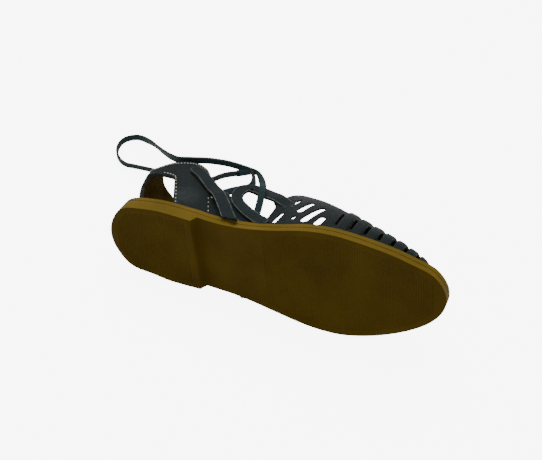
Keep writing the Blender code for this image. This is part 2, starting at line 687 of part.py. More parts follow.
def main():
    for old in list(bpy.data.objects):
        bpy.data.objects.remove(old)
    shoe = bpy.data.collections.new("lace_up_sandal")
    cutters = bpy.data.collections.new("cutters")
    for collection in (shoe, cutters):
        bpy.context.scene.collection.children.link(collection)
    frame = bpy.data.objects.new("lying_frame", None)
    shoe.objects.link(frame)
    frame.matrix_world = lay_on_side()

    sole_tan = material("sole_tan", (0.13, 0.08, 0.015), 0.6)
    edge_tan = material("edge_tan", (0.22, 0.13, 0.025), 0.55)
    lining_tan = material("lining_tan", (0.09, 0.055, 0.012), 0.7)
    leather_teal = material("leather_teal", (0.012, 0.028, 0.034), 0.5)
    strap_teal = material("strap_teal", (0.014, 0.034, 0.044), 0.5)
    lace_teal = material("lace_teal", (0.010, 0.026, 0.032), 0.6)

    outsole = layer("outsole", (
        (SOLE_EDGE, underside),
        (0.0, above(underside, SOLE_EDGE)),
        (0.0, above(outsole_top, -SOLE_EDGE)),
        (SOLE_EDGE, outsole_top),
    ))
    midsole = layer("midsole", (
        (SOLE_EDGE, midsole_bottom),
        (0.0, above(midsole_bottom, SOLE_EDGE)),
        (0.0, above(sole_top, -SOLE_EDGE)),
        (SOLE_EDGE, sole_top),
    ))
    insole_inset = UPPER_INSET + QUARTER_LEATHER + 2 * FIT
    insole = layer("insole", (
        (insole_inset, seat),
        (insole_inset, above(seat, INSOLE_THICKNESS * 0.7)),
        (insole_inset + INSOLE_THICKNESS * 0.3, above(seat, INSOLE_THICKNESS)),
    ), INSOLE_TOE_INSET)
    parts = [
        add_object("outsole", outsole, shoe, frame, sole_tan),
        add_object("midsole", midsole, shoe, frame, edge_tan),
        add_object("insole", insole, shoe, frame, lining_tan),
    ]

    vamp = add_object("vamp", vamp_mesh(), shoe, frame, leather_teal)
    parts.append(vamp)
    for side, word in ((INNER, "inner"), (OUTER, "outer")):
        for number, slot in enumerate(VAMP_SLOTS, start=1):
            cut(vamp, slot_cutter(f"{word}_slot_{number}", slot, side, cutters, frame))

    quarters = add_object("heel_quarters", quarters_mesh(), shoe, frame, leather_teal)
    parts.append(quarters)
    for side, word in ((INNER, "inner"), (OUTER, "outer")):
        cut(quarters, window_cutter(f"{word}_window", side, cutters, frame))
        strap = quarter_strap_mesh(f"quarter_strap_{word}", side)
        parts.append(add_object(f"quarter_strap_{word}", strap, shoe, frame, strap_teal))
        loop_lift = FIT + STRAP_LEATHER / 2 + 2 * NUDGE
        loop = side_strap_mesh(f"instep_loop_{word}", side, INSTEP_LOOP_ROUTE, 46, LOOP_WIDTH, loop_lift)
        parts.append(add_object(f"instep_loop_{word}", loop, shoe, frame, strap_teal))
        under_lift = loop_lift - STRAP_LEATHER - FIT - NUDGE
        under = side_strap_mesh(f"waist_strap_{word}", side, WAIST_STRAP_ROUTE, 22, LOOP_WIDTH, under_lift)
        parts.append(add_object(f"waist_strap_{word}", under, shoe, frame, strap_teal))

    parts.append(lace_crossing(shoe, cutters, frame, lace_teal))
    ankle_lace(shoe, frame, lace_teal)
    place_on_floor(frame, parts)


main()
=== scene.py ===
# %% [markdown]
# A flat lace-up sandal lies on its outer side on a pale floor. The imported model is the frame:
# it holds every piece at its real size. This file dresses the shoe piece by piece, in the same
# metres, and each new piece takes the place of the plain solid it stands for.

import math

import bmesh
import bpy
import numpy as np
from mathutils import Matrix, Vector, geometry


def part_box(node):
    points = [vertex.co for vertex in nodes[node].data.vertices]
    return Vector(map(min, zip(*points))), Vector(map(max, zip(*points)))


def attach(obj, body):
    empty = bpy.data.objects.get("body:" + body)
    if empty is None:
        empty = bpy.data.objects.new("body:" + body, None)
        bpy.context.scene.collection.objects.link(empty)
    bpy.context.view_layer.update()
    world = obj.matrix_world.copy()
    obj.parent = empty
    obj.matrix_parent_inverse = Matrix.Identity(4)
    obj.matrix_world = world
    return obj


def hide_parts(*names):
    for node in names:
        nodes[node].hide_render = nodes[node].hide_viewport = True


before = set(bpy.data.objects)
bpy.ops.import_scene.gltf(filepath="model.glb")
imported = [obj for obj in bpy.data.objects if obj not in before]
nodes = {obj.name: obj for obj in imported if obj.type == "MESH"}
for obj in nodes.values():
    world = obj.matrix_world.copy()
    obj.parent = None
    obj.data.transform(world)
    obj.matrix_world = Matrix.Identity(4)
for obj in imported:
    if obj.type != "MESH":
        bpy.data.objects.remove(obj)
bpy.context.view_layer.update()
print("nodes:", ", ".join(sorted(nodes)))

# %% [markdown]
# A shoe is drawn from a few sizes: the length and width of its sole, the height of its instep
# and of its quarters. The same sizes shaped the frame, so the new skins fit it. Short tables
# give the outline and the foot's form as shares of those sizes.

# %% Sizes of the shoe
SOLE_LENGTH = 0.2544
BALL_WIDTH = 0.0865
OUTSOLE_THICKNESS = 0.0042
MIDSOLE_THICKNESS = 0.0038
INSOLE_THICKNESS = 0.0018
HEEL_LIFT = 0.0058
TOE_SPRING = 0.0014
HEEL_BREAST = 0.281 * SOLE_LENGTH
BREAST_SLOPE = 0.003
WAIST_END = 0.562 * SOLE_LENGTH
SPRING_START = 0.8 * SOLE_LENGTH
INSTEP_HEIGHT = 0.062
QUARTER_HEIGHT = 0.062
QUARTER_REACH = 0.079
UPPER_INSET = 0.0024
QUARTER_LEATHER = 0.0026
FIT = 0.0003
LAST_FULLNESS = 2.4
THROAT_START = 0.477 * SOLE_LENGTH
THROAT_DEPTH = 0.125 * SOLE_LENGTH
THROAT_SHARPNESS = 8
TIP_ROUNDING = 0.90 * SOLE_LENGTH
TIP_FULLNESS = 2.2
TIP_INSET = 0.008
COLLAR_LEAN = 0.5
COLLAR_NARROWING = 0.093
LEAN_START = 0.02 * SOLE_LENGTH
LEAN_FULL = 0.16 * SOLE_LENGTH
HEEL_ROUND = 0.020
NUDGE = 0.0002
INNER, OUTER = -1, 1

SOLE_OUTLINE = {
    "share": (0.04, 0.10, 0.18, 0.28, 0.40, 0.52, 0.64, 0.70, 0.78, 0.86, 0.93, 0.97),
    "inner": (0.276, 0.338, 0.347, 0.313, 0.310, 0.364, 0.430, 0.432, 0.398, 0.344, 0.268, 0.202),
    "outer": (0.269, 0.332, 0.381, 0.400, 0.412, 0.480, 0.557, 0.563, 0.516, 0.427, 0.311, 0.208),
}
LAST_SECTIONS = {
    "share": (0.235, 0.373, 0.431, 0.502, 0.569, 0.627, 0.686, 0.745, 0.804, 0.863, 0.922, 0.965),
    "height": (1.19, 1.11, 1.05, 1.00, 0.90, 0.79, 0.665, 0.550, 0.445, 0.340, 0.225, 0.130),
    "ridge": (0.02, 0.00, -0.03, -0.09, -0.116, -0.108, -0.09, -0.07, -0.05, -0.03, -0.01, 0.0),
}
BACK_PROFILE = {
    "share": (0.00, 0.04, 0.14, 0.26, 0.37, 0.48, 0.60, 0.69, 0.79, 0.90, 1.00),
    "shift": (0.0, 0.0, 0.045, 0.055, 0.000, -0.060, -0.098, -0.105, -0.085, -0.060, -0.050),
}
COLLAR = {
    "share": (0.0, 0.025, 0.05, 0.075, 0.10, 0.15, 0.20, 0.25, 0.33, 0.38, 0.50, 0.60, 0.72, 0.84, 0.934,
              0.978, 1.0),
    INNER: (1.024, 1.008, 0.92, 0.825, 0.76, 0.732, 0.722, 0.72, 0.727, 0.74, 0.81, 0.905, 0.99, 1.03, 0.99,
            0.925, 0.83),
    OUTER: (1.024, 1.036, 1.044, 1.048, 1.045, 0.99, 0.86, 0.765, 0.735, 0.74, 0.81, 0.905, 0.99, 1.03, 0.99,
            0.925, 0.83),
}


def clamp(value, low=0.0, high=1.0):
    return min(max(value, low), high)


def hermite(table, column, share):
    """Read a smooth curve through one column of a table."""
    shares, values = np.array(table["share"]), np.array(table[column])
    slopes = np.gradient(values, shares)
    share = clamp(share, shares[0], shares[-1])
    row = clamp(int(np.searchsorted(shares, share, side="right")) - 1, 0, len(shares) - 2)
    step = shares[row + 1] - shares[row]
    t = (share - shares[row]) / step
    start = (1 + 2 * t) * (1 - t) ** 2 * values[row] + t * (1 - t) ** 2 * step * slopes[row]
    end = t * t * (3 - 2 * t) * values[row + 1] + t * t * (t - 1) * step * slopes[row + 1]
    return float(start + end)


def smoothstep(value, low, high):
    t = clamp((value - low) / (high - low))
    return t * t * (3 - 2 * t)


print("sole (mm):", round(SOLE_LENGTH * 1000, 1), "long,", round(BALL_WIDTH * 1000, 1), "wide at the ball")


# %% The sole's outline and heights
outline_shares = np.array(SOLE_OUTLINE["share"])
ROUNDED_OUTLINE = {"share": SOLE_OUTLINE["share"]}
for column in ("inner", "outer"):
    widths = np.array(SOLE_OUTLINE[column])
    ROUNDED_OUTLINE[column] = tuple(widths ** 2 / (outline_shares * (1 - outline_shares)))


def half_width(x, side, length=SOLE_LENGTH):
    share = clamp(x / length)
    column = "inner" if side == INNER else "outer"
    return BALL_WIDTH * math.sqrt(max(hermite(ROUNDED_OUTLINE, column, share) * share * (1 - share), 0.0))


def arch(x):
    """Height of the sole's underside, from the heel seat over the waist to the toe."""
    waist = clamp((x - HEEL_BREAST) / (WAIST_END - HEEL_BREAST))
    toe = clamp((x - SPRING_START) / (SOLE_LENGTH - SPRING_START))
    return HEEL_LIFT * (1 - waist) ** 1.5 + TOE_SPRING * toe ** 2


def underside(x):
    return arch(x) * smoothstep(x, HEEL_BREAST - BREAST_SLOPE / 2, HEEL_BREAST + BREAST_SLOPE / 2)


def seat(x):
    """Height at which the upper and the insole start, just above the midsole."""
    return arch(x) + OUTSOLE_THICKNESS + MIDSOLE_THICKNESS + 2 * FIT


print("seat (mm):", round(seat(0.0) * 1000, 1), "at the heel,", round(seat(WAIST_END) * 1000, 1), "in front")


# %% [markdown]
# A shoe is built over a last, a solid form of the foot. No last is made here: a function gives
# any point of its surface, so that skins, straps and slots are laid on the same form.

# %% The foot's form over the toes and the instep
def last_point(x, angle, lift=0.0):
    """A point on the foot's form at x, from 0 degrees at the inner side to 180 at the outer."""
    tip = SOLE_LENGTH - TIP_INSET + lift
    share = x / SOLE_LENGTH
    left = clamp((tip - x) / (tip - TIP_ROUNDING))
    closing = (1 - (1 - left) ** TIP_FULLNESS) ** (1 / TIP_FULLNESS)
    height = INSTEP_HEIGHT * hermite(LAST_SECTIONS, "height", share) * closing
    ridge = BALL_WIDTH * hermite(LAST_SECTIONS, "ridge", share)
    across, up = math.cos(math.radians(angle)), math.sin(math.radians(angle))
    side = INNER if across > 0 else OUTER
    reach = half_width(x - UPPER_INSET, side, SOLE_LENGTH - 2 * UPPER_INSET) - 0.9 * UPPER_INSET
    half = max(max(max(reach, 0.0) + lift, 0.0) * closing - side * ridge, 0.0)
    power = 2 / LAST_FULLNESS
    y = ridge + side * half * abs(across) ** power
    return Vector((x, y, seat(x) + max(height + lift, 0.0) * max(up, 0.0) ** power))


def last_normal(x, angle):
    along = last_point(x + NUDGE, angle) - last_point(x - NUDGE, angle)
    around = last_point(x, min(angle + 1, 179)) - last_point(x, max(angle - 1, 1))
    return along.cross(around).normalized()


def throat(angle):
    """Where the vamp starts: a U-shaped throat that runs forward over the ridge."""
    return THROAT_START + THROAT_DEPTH * math.sin(math.radians(angle)) ** THROAT_SHARPNESS


print("deepest point of the throat (mm from the heel):", round(throat(90) * 1000, 1))


# %% The form round the heel
def rear_reach(base, side):
    return max(half_width(base, side) - UPPER_INSET * smoothstep(base, 0.0, HEEL_ROUND), 0.0)


def rear_point(base, side, z, lift=0.0):
    """A point on the quarters: the heel's outline, leaning back and in as it rises."""
    low, high = max(base - NUDGE, 0.0), base + NUDGE
    along = Vector((high - low, side * (rear_reach(high, side) - rear_reach(low, side))))
    along = along.normalized() if base > 0 else Vector((0.0, side))
    outward = Vector((-along.y, along.x)) * side
    rounded = 1 - smoothstep(base, 0.0, HEEL_ROUND)
    plan = Vector((base + UPPER_INSET * rounded, side * rear_reach(base, side))) + outward * lift
    rise = z - seat(0.0)
    back = QUARTER_HEIGHT * hermite(BACK_PROFILE, "shift", rise / QUARTER_HEIGHT)
    sideways = smoothstep(base, LEAN_START, LEAN_FULL)
    shift = back * (1 - sideways) - COLLAR_LEAN * rise * sideways
    return Vector((plan.x + shift, plan.y * (1 - COLLAR_NARROWING * rise / QUARTER_HEIGHT), z))


def side_point(x, z, side, lift):
    """A point over the quarters, given in side view."""
    return rear_point(x + COLLAR_LEAN * (z - seat(0.0)), side, z, lift)


def side_normal(x, z, side, lift):
    along = side_point(x + NUDGE, z, side, lift) - side_point(x - NUDGE, z, side, lift)
    up = side_point(x, z + NUDGE, side, lift) - side_point(x, z - NUDGE, side, lift)
    return (along.cross(up) * -side).normalized()


def collar_height(base, side):
    return seat(base) + QUARTER_HEIGHT * hermite(COLLAR, side, base / QUARTER_REACH)


print("collar at the back (mm):", round(collar_height(0.0, INNER) * 1000, 1))

# %% [markdown]
# The shoe was thought out upright, with the heel at the origin and the toe along x. One matrix
# lays it down on the outer edge of its sole and the outer side of its collar, as in the photo.
# Three points that touch the floor give the turn, and the frame's own outsole gives the place.

# %% From upright to lying
HEEL_PART = 0.35 * SOLE_LENGTH
BALL_PART = 0.55 * SOLE_LENGTH
COLLAR_TOUCH = 0.84 * QUARTER_REACH
CORNER_STEPS = 400

outer_edge = [(SOLE_LENGTH * k / 100, half_width(SOLE_LENGTH * k / 100, OUTER)) for k in range(8, 90)]
heel_touch, ball_touch = outer_edge[0], outer_edge[-1]
for _ in range(4):
    slope = (ball_touch[1] - heel_touch[1]) / (ball_touch[0] - heel_touch[0])
    rear = [e for e in outer_edge if e[0] < HEEL_PART]
    front = [e for e in outer_edge if e[0] > BALL_PART]
    heel_touch = max(rear, key=lambda e: e[1] - slope * e[0])
    ball_touch = max(front, key=lambda e: e[1] - slope * e[0])
heel_place = Vector((*heel_touch, seat(heel_touch[0]) - FIT))
ball_place = Vector((*ball_touch, seat(ball_touch[0]) - FIT))
collar_place = rear_point(COLLAR_TOUCH, OUTER, collar_height(COLLAR_TOUCH, OUTER))
up = (ball_place - heel_place).cross(collar_place - heel_place).normalized()
up = up if up.y < 0 else -up
forward = (ball_place - heel_place).normalized()
LYING = Matrix((forward, up.cross(forward), up)).to_4x4()

corners = []
for k in range(CORNER_STEPS + 1):
    x = SOLE_LENGTH * k / CORNER_STEPS
    for side in (INNER, OUTER):
        for z in (underside(x), arch(x) + OUTSOLE_THICKNESS):
            corners.append(LYING @ Vector((x, side * half_width(x, side), z)))
low_corner = Vector([min(c[axis] for c in corners) for axis in range(3)])
LYING.translation = Vector(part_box("outsole")[0]) - low_corner
print("lying shift (mm):", [round(v * 1000, 1) for v in LYING.translation])

# %% [markdown]
# Every piece ends the same way: the bmesh becomes a mesh, it is carried to its place on the
# floor, it rides on the one body of the shoe and it stands for its plain solid. A piece with a
# front, a back and a cut edge keeps three finishes, one for each.

# %% From a bmesh to a finished piece
def piece(name, shape, finishes, stands_for=()):
    bmesh.ops.transform(shape, matrix=LYING, verts=shape.verts)
    mesh = bpy.data.meshes.new(name)
    shape.to_mesh(mesh)
    shape.free()
    mesh.shade_smooth()
    for finish in finishes:
        mesh.materials.append(finish)
    new = bpy.data.objects.new(name, mesh)
    bpy.context.scene.collection.objects.link(new)
    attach(new, "root")
    if stands_for:
        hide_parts(*stands_for)
    print(f"{name}: {len(mesh.vertices)} points, {len(mesh.polygons)} faces")
    return new


def thicken(new, thickness, edge_round, angle=35):
    """Give a one-sided skin its leather, inward, and round the cut edges."""
    solid = new.modifiers.new("leather", "SOLIDIFY")
    solid.thickness = thickness
    solid.offset = -1
    solid.use_quality_normals = True
    solid.material_offset = 1
    solid.material_offset_rim = 2
    soften(new, edge_round, angle)


def soften(new, edge_round, angle=35):
    """Round every edge that is sharper than the angle."""
    bevel = new.modifiers.new("rounded", "BEVEL")
    bevel.width = edge_round
    bevel.segments = 2
    bevel.limit_method = "ANGLE"
    bevel.angle_limit = math.radians(angle)
    bevel.harden_normals = False


# %% [markdown]
# Leather is cut flat and then pulled over the last. A flat panel with holes is easy to fill, but
# its few large faces can't bend, so planes slice it into a lattice before it is shaped.

# %% Cutting a flat pattern into strips, ready for bending
def everything(shape):
    return shape.verts[:] + shape.edges[:] + shape.faces[:]


def slice_across(shape, axis, places, geometry_of=everything):
    """Cut the shape with a plane square to the axis at each place."""
    normal = Vector([1.0 if k == axis else 0.0 for k in range(3)])
    for place in places:
        bmesh.ops.bisect_plane(
            shape, geom=geometry_of(shape), plane_co=normal * place, plane_no=normal, dist=1e-7)


def flat_pattern(outline, holes, columns, rows):
    """A flat panel with holes, cut into a lattice: bent on the form, it follows every curve."""
    shape = bmesh.new()
    for loop in [outline, *holes]:
        corners = [shape.verts.new((x, y, 0.0)) for x, y in loop]
        for a, b in zip(corners, corners[1:] + corners[:1]):
            shape.edges.new((a, b))
    bmesh.ops.triangle_fill(shape, use_beauty=True, edges=shape.edges[:], normal=(0.0, 0.0, 1.0))
    filling = shape.edges.layers.int.new("filling")
    for edge in shape.edges:
        edge[filling] = 1 if len(edge.link_faces) == 2 else 0
    slice_across(shape, 0, columns)
    slice_across(shape, 1, rows)
    spare = [e for e in shape.edges if e[filling] == 1 and len(e.link_faces) == 2]
    bmesh.ops.dissolve_edges(shape, edges=spare, use_verts=False)
    between = [v for v in shape.verts if len(v.link_edges) == 2 and not v.is_boundary]
    bmesh.ops.dissolve_verts(shape, verts=between)
    return shape


def turn_outward(shape, outward_of):
    """Turn all the faces over together when most of them look inward."""
    shape.normal_update()
    votes = sum(1 if face.normal.dot(outward_of(face)) > 0 else -1 for face in shape.faces)
    if votes < 0:
        bmesh.ops.reverse_faces(shape, faces=shape.faces[:])
    return shape


def bend(shape, place_of, outward_of):
    """Move each flat point to its place on the form, and turn the faces outwards."""
    for vert in shape.verts:
        vert.co = place_of(vert.co.x, vert.co.y)
    bmesh.ops.remove_doubles(shape, verts=shape.verts, dist=2e-6)
    return turn_outward(shape, lambda face: outward_of(face.calc_center_median()))


def spread(low, high, step):
    """Even places between two ends, about a step apart."""
    count = max(int(round((high - low) / step)), 1)
    return [low + (high - low) * k / count for k in range(1, count)]


# %% [markdown]
# The finishes come next, because the pieces ask for them by name. Leather is dark and even with
# a fine pebbled grain, with a painted highlight on the quarters and pale rims on the straps that are
# partly wear and partly painted highlight; its cut edge is pale and fibrous.
# Grain and mottling are node groups: built once, placed in each finish with its own values.

# %% Shader node groups
def new_group(name, inputs, outputs):
    group = bpy.data.node_groups.new(name, "ShaderNodeTree")
    for label, kind, value in inputs:
        socket = group.interface.new_socket(name=label, in_out="INPUT", socket_type=kind)
        socket.default_value = value
    for label, kind in outputs:
        group.interface.new_socket(name=label, in_out="OUTPUT", socket_type=kind)
    return group, group.nodes.new("NodeGroupInput"), group.nodes.new("NodeGroupOutput")


def link(tree, source, target):
    tree.links.new(source, target)


def noise(tree, place, scale, detail=4.0, roughness=0.55):
    node = tree.nodes.new("ShaderNodeTexNoise")
    node.inputs["Detail"].default_value = detail
    node.inputs["Roughness"].default_value = roughness
    link(tree, place, node.inputs["Vector"])
    if isinstance(scale, (int, float)):
        node.inputs["Scale"].default_value = scale
    else:
        link(tree, scale, node.inputs["Scale"])
    return node.outputs["Fac"]


def ramp(tree, value, stops):
    """Turn a value from 0 to 1 into another, through (position, grey or colour) stops."""
    node = tree.nodes.new("ShaderNodeValToRGB")
    while len(node.color_ramp.elements) < len(stops):
        node.color_ramp.elements.new(0.5)
    for element, (position, colour) in zip(node.color_ramp.elements, stops):
        element.position = position
        element.color = (*colour, 1.0) if isinstance(colour, tuple) else (colour, colour, colour, 1.0)
    link(tree, value, node.inputs["Fac"])
    return node.outputs["Color"]


def calculate(tree, operation, first, second):
    node = tree.nodes.new("ShaderNodeMath")
    node.operation = operation
    for socket, value in zip(node.inputs, (first, second)):
        if isinstance(value, (int, float)):
            socket.default_value = value
        else:
            link(tree, value, socket)
    return node.outputs["Value"]


def blend_colours(tree, share, first, second, mode="MIX"):
    node = tree.nodes.new("ShaderNodeMix")
    node.data_type = "RGBA"
    node.blend_type = mode
    for socket, value in zip((node.inputs[0], node.inputs[6], node.inputs[7]), (share, first, second)):
        if isinstance(value, tuple):
            socket.default_value = (*value, 1.0)
        elif isinstance(value, (int, float)):
            socket.default_value = value
        else:
            link(tree, value, socket)
    return node.outputs[2]


# Leather grain: small cells with creases between them, over a softer swell.
grain_group, grain_in, grain_out = new_group(
    "leather_grain",
    (("Place", "NodeSocketVector", (0.0, 0.0, 0.0)), ("Cell Scale", "NodeSocketFloat", 900.0)),
    (("Height", "NodeSocketFloat"), ("Crease", "NodeSocketFloat")),
)
cells = grain_group.nodes.new("ShaderNodeTexVoronoi")
cells.feature = "DISTANCE_TO_EDGE"
link(grain_group, grain_in.outputs["Place"], cells.inputs["Vector"])
link(grain_group, grain_in.outputs["Cell Scale"], cells.inputs["Scale"])
creases = ramp(grain_group, cells.outputs["Distance"], ((0.0, 0.0), (0.22, 1.0)))
swell = noise(grain_group, grain_in.outputs["Place"], 260.0)
link(grain_group, calculate(grain_group, "ADD", creases, swell), grain_out.inputs["Height"])
link(grain_group, creases, grain_out.inputs["Crease"])

# Mottling: two colours that blend in soft patches with a finer speckle in them.
mottle_group, mottle_in, mottle_out = new_group(
    "mottling",
    (
        ("Place", "NodeSocketVector", (0.0, 0.0, 0.0)),
        ("Dark", "NodeSocketColor", (0.0, 0.0, 0.0, 1.0)),
        ("Light", "NodeSocketColor", (1.0, 1.0, 1.0, 1.0)),
        ("Patch Scale", "NodeSocketFloat", 40.0),
        ("Speckle Scale", "NodeSocketFloat", 900.0),
    ),
    (("Color", "NodeSocketColor"), ("Mask", "NodeSocketFloat")),
)
patches = noise(mottle_group, mottle_in.outputs["Place"], mottle_in.outputs["Patch Scale"], 3.0)
speckle = noise(mottle_group, mottle_in.outputs["Place"], mottle_in.outputs["Speckle Scale"], 2.0)
both = calculate(mottle_group, "ADD", patches, calculate(mottle_group, "MULTIPLY", speckle, 0.6))
mask = ramp(mottle_group, both, ((0.55, 0.0), (1.0, 1.0)))
link(mottle_group, blend_colours(
    mottle_group, mask, mottle_in.outputs["Dark"], mottle_in.outputs["Light"]), mottle_out.inputs["Color"])
link(mottle_group, mask, mottle_out.inputs["Mask"])
print("node groups:", grain_group.name, mottle_group.name)


# %% Finishes
def new_finish(name):
    finish = bpy.data.materials.new(name)
    finish.use_nodes = True
    tree = finish.node_tree
    place = tree.nodes.new("ShaderNodeTexCoord").outputs["Object"]
    return finish, tree, tree.nodes["Principled BSDF"], place


def use_group(tree, group, place, **values):
    node = tree.nodes.new("ShaderNodeGroup")
    node.node_tree = group
    link(tree, place, node.inputs["Place"])
    for label, value in values.items():
        socket = node.inputs[label.replace("_", " ")]
        socket.default_value = (*value, 1.0) if isinstance(value, tuple) else value
    return node


def raise_relief(tree, shader, height, distance):
    bump = tree.nodes.new("ShaderNodeBump")
    bump.inputs["Distance"].default_value = distance
    link(tree, height, bump.inputs["Height"])
    link(tree, bump.outputs["Normal"], shader.inputs["Normal"])


# Colour, place and reach of the painted highlight on the quarter.
PAINTED_HIGHLIGHT_COLOUR = (0.052, 0.061, 0.061)
PAINTED_HIGHLIGHT_PLACE = (0.050, 0.031)
PAINTED_HIGHLIGHT_REACH = 1 / 60
LEATHER_PATCHES = 45.0
GRAIN_RELIEF = 0.00012
LEATHER_SHEEN, NAP_SHEEN = 0.16, 0.06


def leather(name, dark, light, roughness, cell_scale=900.0, edge_wear_and_highlight=None, painted_highlight_at=None):
    """Grained leather: mottled colour, creased grain, varied gloss, edges pale from wear and painted
    highlight, a painted highlight.
    """
    finish, tree, shader, place = new_finish(name)
    colour = use_group(tree, mottle_group, place, Dark=dark, Light=light, Patch_Scale=LEATHER_PATCHES)
    grain = use_group(tree, grain_group, place, Cell_Scale=cell_scale)
    crease_tint = ramp(tree, grain.outputs["Crease"], ((0.0, 0.75), (1.0, 1.0)))
    tinted = blend_colours(tree, 1.0, colour.outputs["Color"], crease_tint, "MULTIPLY")
    # Pale rims along the strap edges: partly wear, partly a painted highlight on the rounded edge, broken by
    # noise.
    if edge_wear_and_highlight:
        nearness = tree.nodes.new("ShaderNodeAttribute")
        nearness.attribute_name = "edge"
        wear_and_highlight_rim = ramp(tree, nearness.outputs["Fac"], ((0.80, 0.0), (0.93, 1.0)))
        broken = ramp(tree, noise(tree, place, 320.0), ((0.35, 0.15), (0.6, 0.9)))
        tinted = blend_colours(tree, calculate(tree, "MULTIPLY", wear_and_highlight_rim, broken), tinted, edge_wear_and_highlight)
    # Painted highlight: the colour turns paler in a soft spot round one point, broken up by noise.
    if painted_highlight_at:
        away = tree.nodes.new("ShaderNodeVectorMath")
        away.operation = "DISTANCE"
        away.inputs[1].default_value = painted_highlight_at
        link(tree, place, away.inputs[0])
        distance = calculate(tree, "DIVIDE", away.outputs["Value"], PAINTED_HIGHLIGHT_REACH)
        highlight_falloff = ramp(tree, distance, ((0.0, 0.70), (0.85, 0.0)))
        highlight_haze = ramp(tree, noise(tree, place, 130.0), ((0.3, 0.2), (0.7, 1.0)))
        tinted = blend_colours(tree, calculate(tree, "MULTIPLY", highlight_falloff, highlight_haze), tinted, PAINTED_HIGHLIGHT_COLOUR)
    link(tree, tinted, shader.inputs["Base Color"])
    gloss = ramp(tree, noise(tree, place, 90.0), ((0.3, roughness - 0.06), (0.7, roughness + 0.08)))
    link(tree, gloss, shader.inputs["Roughness"])
    shader.inputs["Specular IOR Level"].default_value = LEATHER_SHEEN
    raise_relief(tree, shader, grain.outputs["Height"], GRAIN_RELIEF)
    return finish


def fibrous(name, dark, light, roughness=0.85, scale=1400.0, relief=0.00015, patch_scale=60.0):
    """Suede, a cut edge, thread or matt rubber: no grain, only a fine nap."""
    finish, tree, shader, place = new_finish(name)
    colour = use_group(
        tree, mottle_group, place, Dark=dark, Light=light, Patch_Scale=patch_scale, Speckle_Scale=scale)
    link(tree, colour.outputs["Color"], shader.inputs["Base Color"])
    shader.inputs["Roughness"].default_value = roughness
    shader.inputs["Specular IOR Level"].default_value = NAP_SHEEN
    raise_relief(tree, shader, noise(tree, place, scale, 3.0), relief)
    return finish


# The quarter's painted highlight sits on the inner side, where the light falls on the leather.
painted_highlight_spot = tuple(LYING @ side_point(*PAINTED_HIGHLIGHT_PLACE, INNER, 0.0))
upper_leather = leather(
    "upper_leather", (0.0022, 0.0064, 0.0064), (0.0056, 0.0126, 0.0126), 0.50, painted_highlight_at=painted_highlight_spot)
# The straps' pale rims stand for wear and for the painted highlight on their edges.
strap_leather = leather(
    "strap_leather", (0.0020, 0.0068, 0.0085), (0.0056, 0.0150, 0.0185), 0.52, edge_wear_and_highlight=(0.130, 0.140, 0.118))
lace_leather = leather("lace_leather", (0.0065, 0.0200, 0.0225), (0.0155, 0.0400, 0.0450), 0.55, 1300.0)
lining_suede = fibrous("lining_suede", (0.026, 0.015, 0.001), (0.092, 0.056, 0.006))
cut_edge = fibrous("cut_edge", (0.014, 0.017, 0.014), (0.050, 0.054, 0.042))
thread = fibrous("thread", (0.26, 0.27, 0.22), (0.55, 0.56, 0.47), 0.7, 2500.0, 0.0001)
# One rubber in two copies: the bottom painted darker as shade, the walls painted lighter where the light
# from above falls.
sole_bottom_painted_shade = fibrous(
    "sole_bottom_painted_shade", (0.046, 0.0265, 0.0006), (0.072, 0.0435, 0.0014), 0.62, 1800.0, 0.00008, 25.0)
sole_wall_painted_light = fibrous("sole_wall_painted_light", (0.115, 0.074, 0.006), (0.172, 0.110, 0.012), 0.55, 1500.0, 0.00006, 30.0)
# A painted shade for the groove between the midsole and the outsole.
painted_groove_shade = fibrous(
    "painted_groove_shade", (0.018, 0.011, 0.001), (0.040, 0.025, 0.003), 0.85, 1500.0, 0.00006, 30.0)
print("finishes:", ", ".join(m.name for m in bpy.data.materials if m.use_nodes and m.users == 0))

# %% [markdown]
# The sole is two flat sheets of rubber cut to one outline and moulded over the arch of the foot.
# A disc has the right rim already: its corners only need moving to the outline. It is sliced
# across so that it can bend, extruded to its thickness, and lifted by the height of the arch.
# The tread of fine cross ribs is real geometry, cut by planes, with a plain rim round it.

# %% A moulded sheet with the sole's outline
RIM_CORNERS = 176
SLICES = 60
TOE_PART = 0.85 * SOLE_LENGTH


def outline_point(x, side, inset):
    """A point of the outline, moved in square to it."""
    low, high = max(x - NUDGE, 0.0), min(x + NUDGE, SOLE_LENGTH)
    along = Vector((high - low, side * (half_width(high, side) - half_width(low, side))))
    if x <= 0.0 or x >= SOLE_LENGTH:
        along = Vector((0.0, side if x <= 0.0 else -side))
    along.normalize()
    return Vector((x, side * half_width(x, side))) - Vector((-along.y, along.x)) * side * inset


def sheet_of_sole(inset=0.0, toe_inset=0.0):
    """A flat disc stretched to the sole's outline and sliced across."""
    shape = bmesh.new()
    bmesh.ops.create_circle(shape, cap_ends=True, segments=RIM_CORNERS, radius=1.0)
    for vert in shape.verts:
        x = SOLE_LENGTH * (1 + vert.co.x) / 2
        side = INNER if vert.co.y < 0 else OUTER
        x = 0.0 if x < FIT / 100 else SOLE_LENGTH if x > SOLE_LENGTH - FIT / 100 else x
        extra = toe_inset * smoothstep(x, TOE_PART, SOLE_LENGTH)
        vert.co = (*outline_point(x, side, inset + extra), 0.0)
    places = [SOLE_LENGTH * k / SLICES for k in range(1, SLICES)]
    breast = [HEEL_BREAST - BREAST_SLOPE / 2, HEEL_BREAST, HEEL_BREAST + BREAST_SLOPE / 2]
    places = [x for x in places if abs(x - HEEL_BREAST) > BREAST_SLOPE] + breast
    slice_across(shape, 0, places)
    return shape


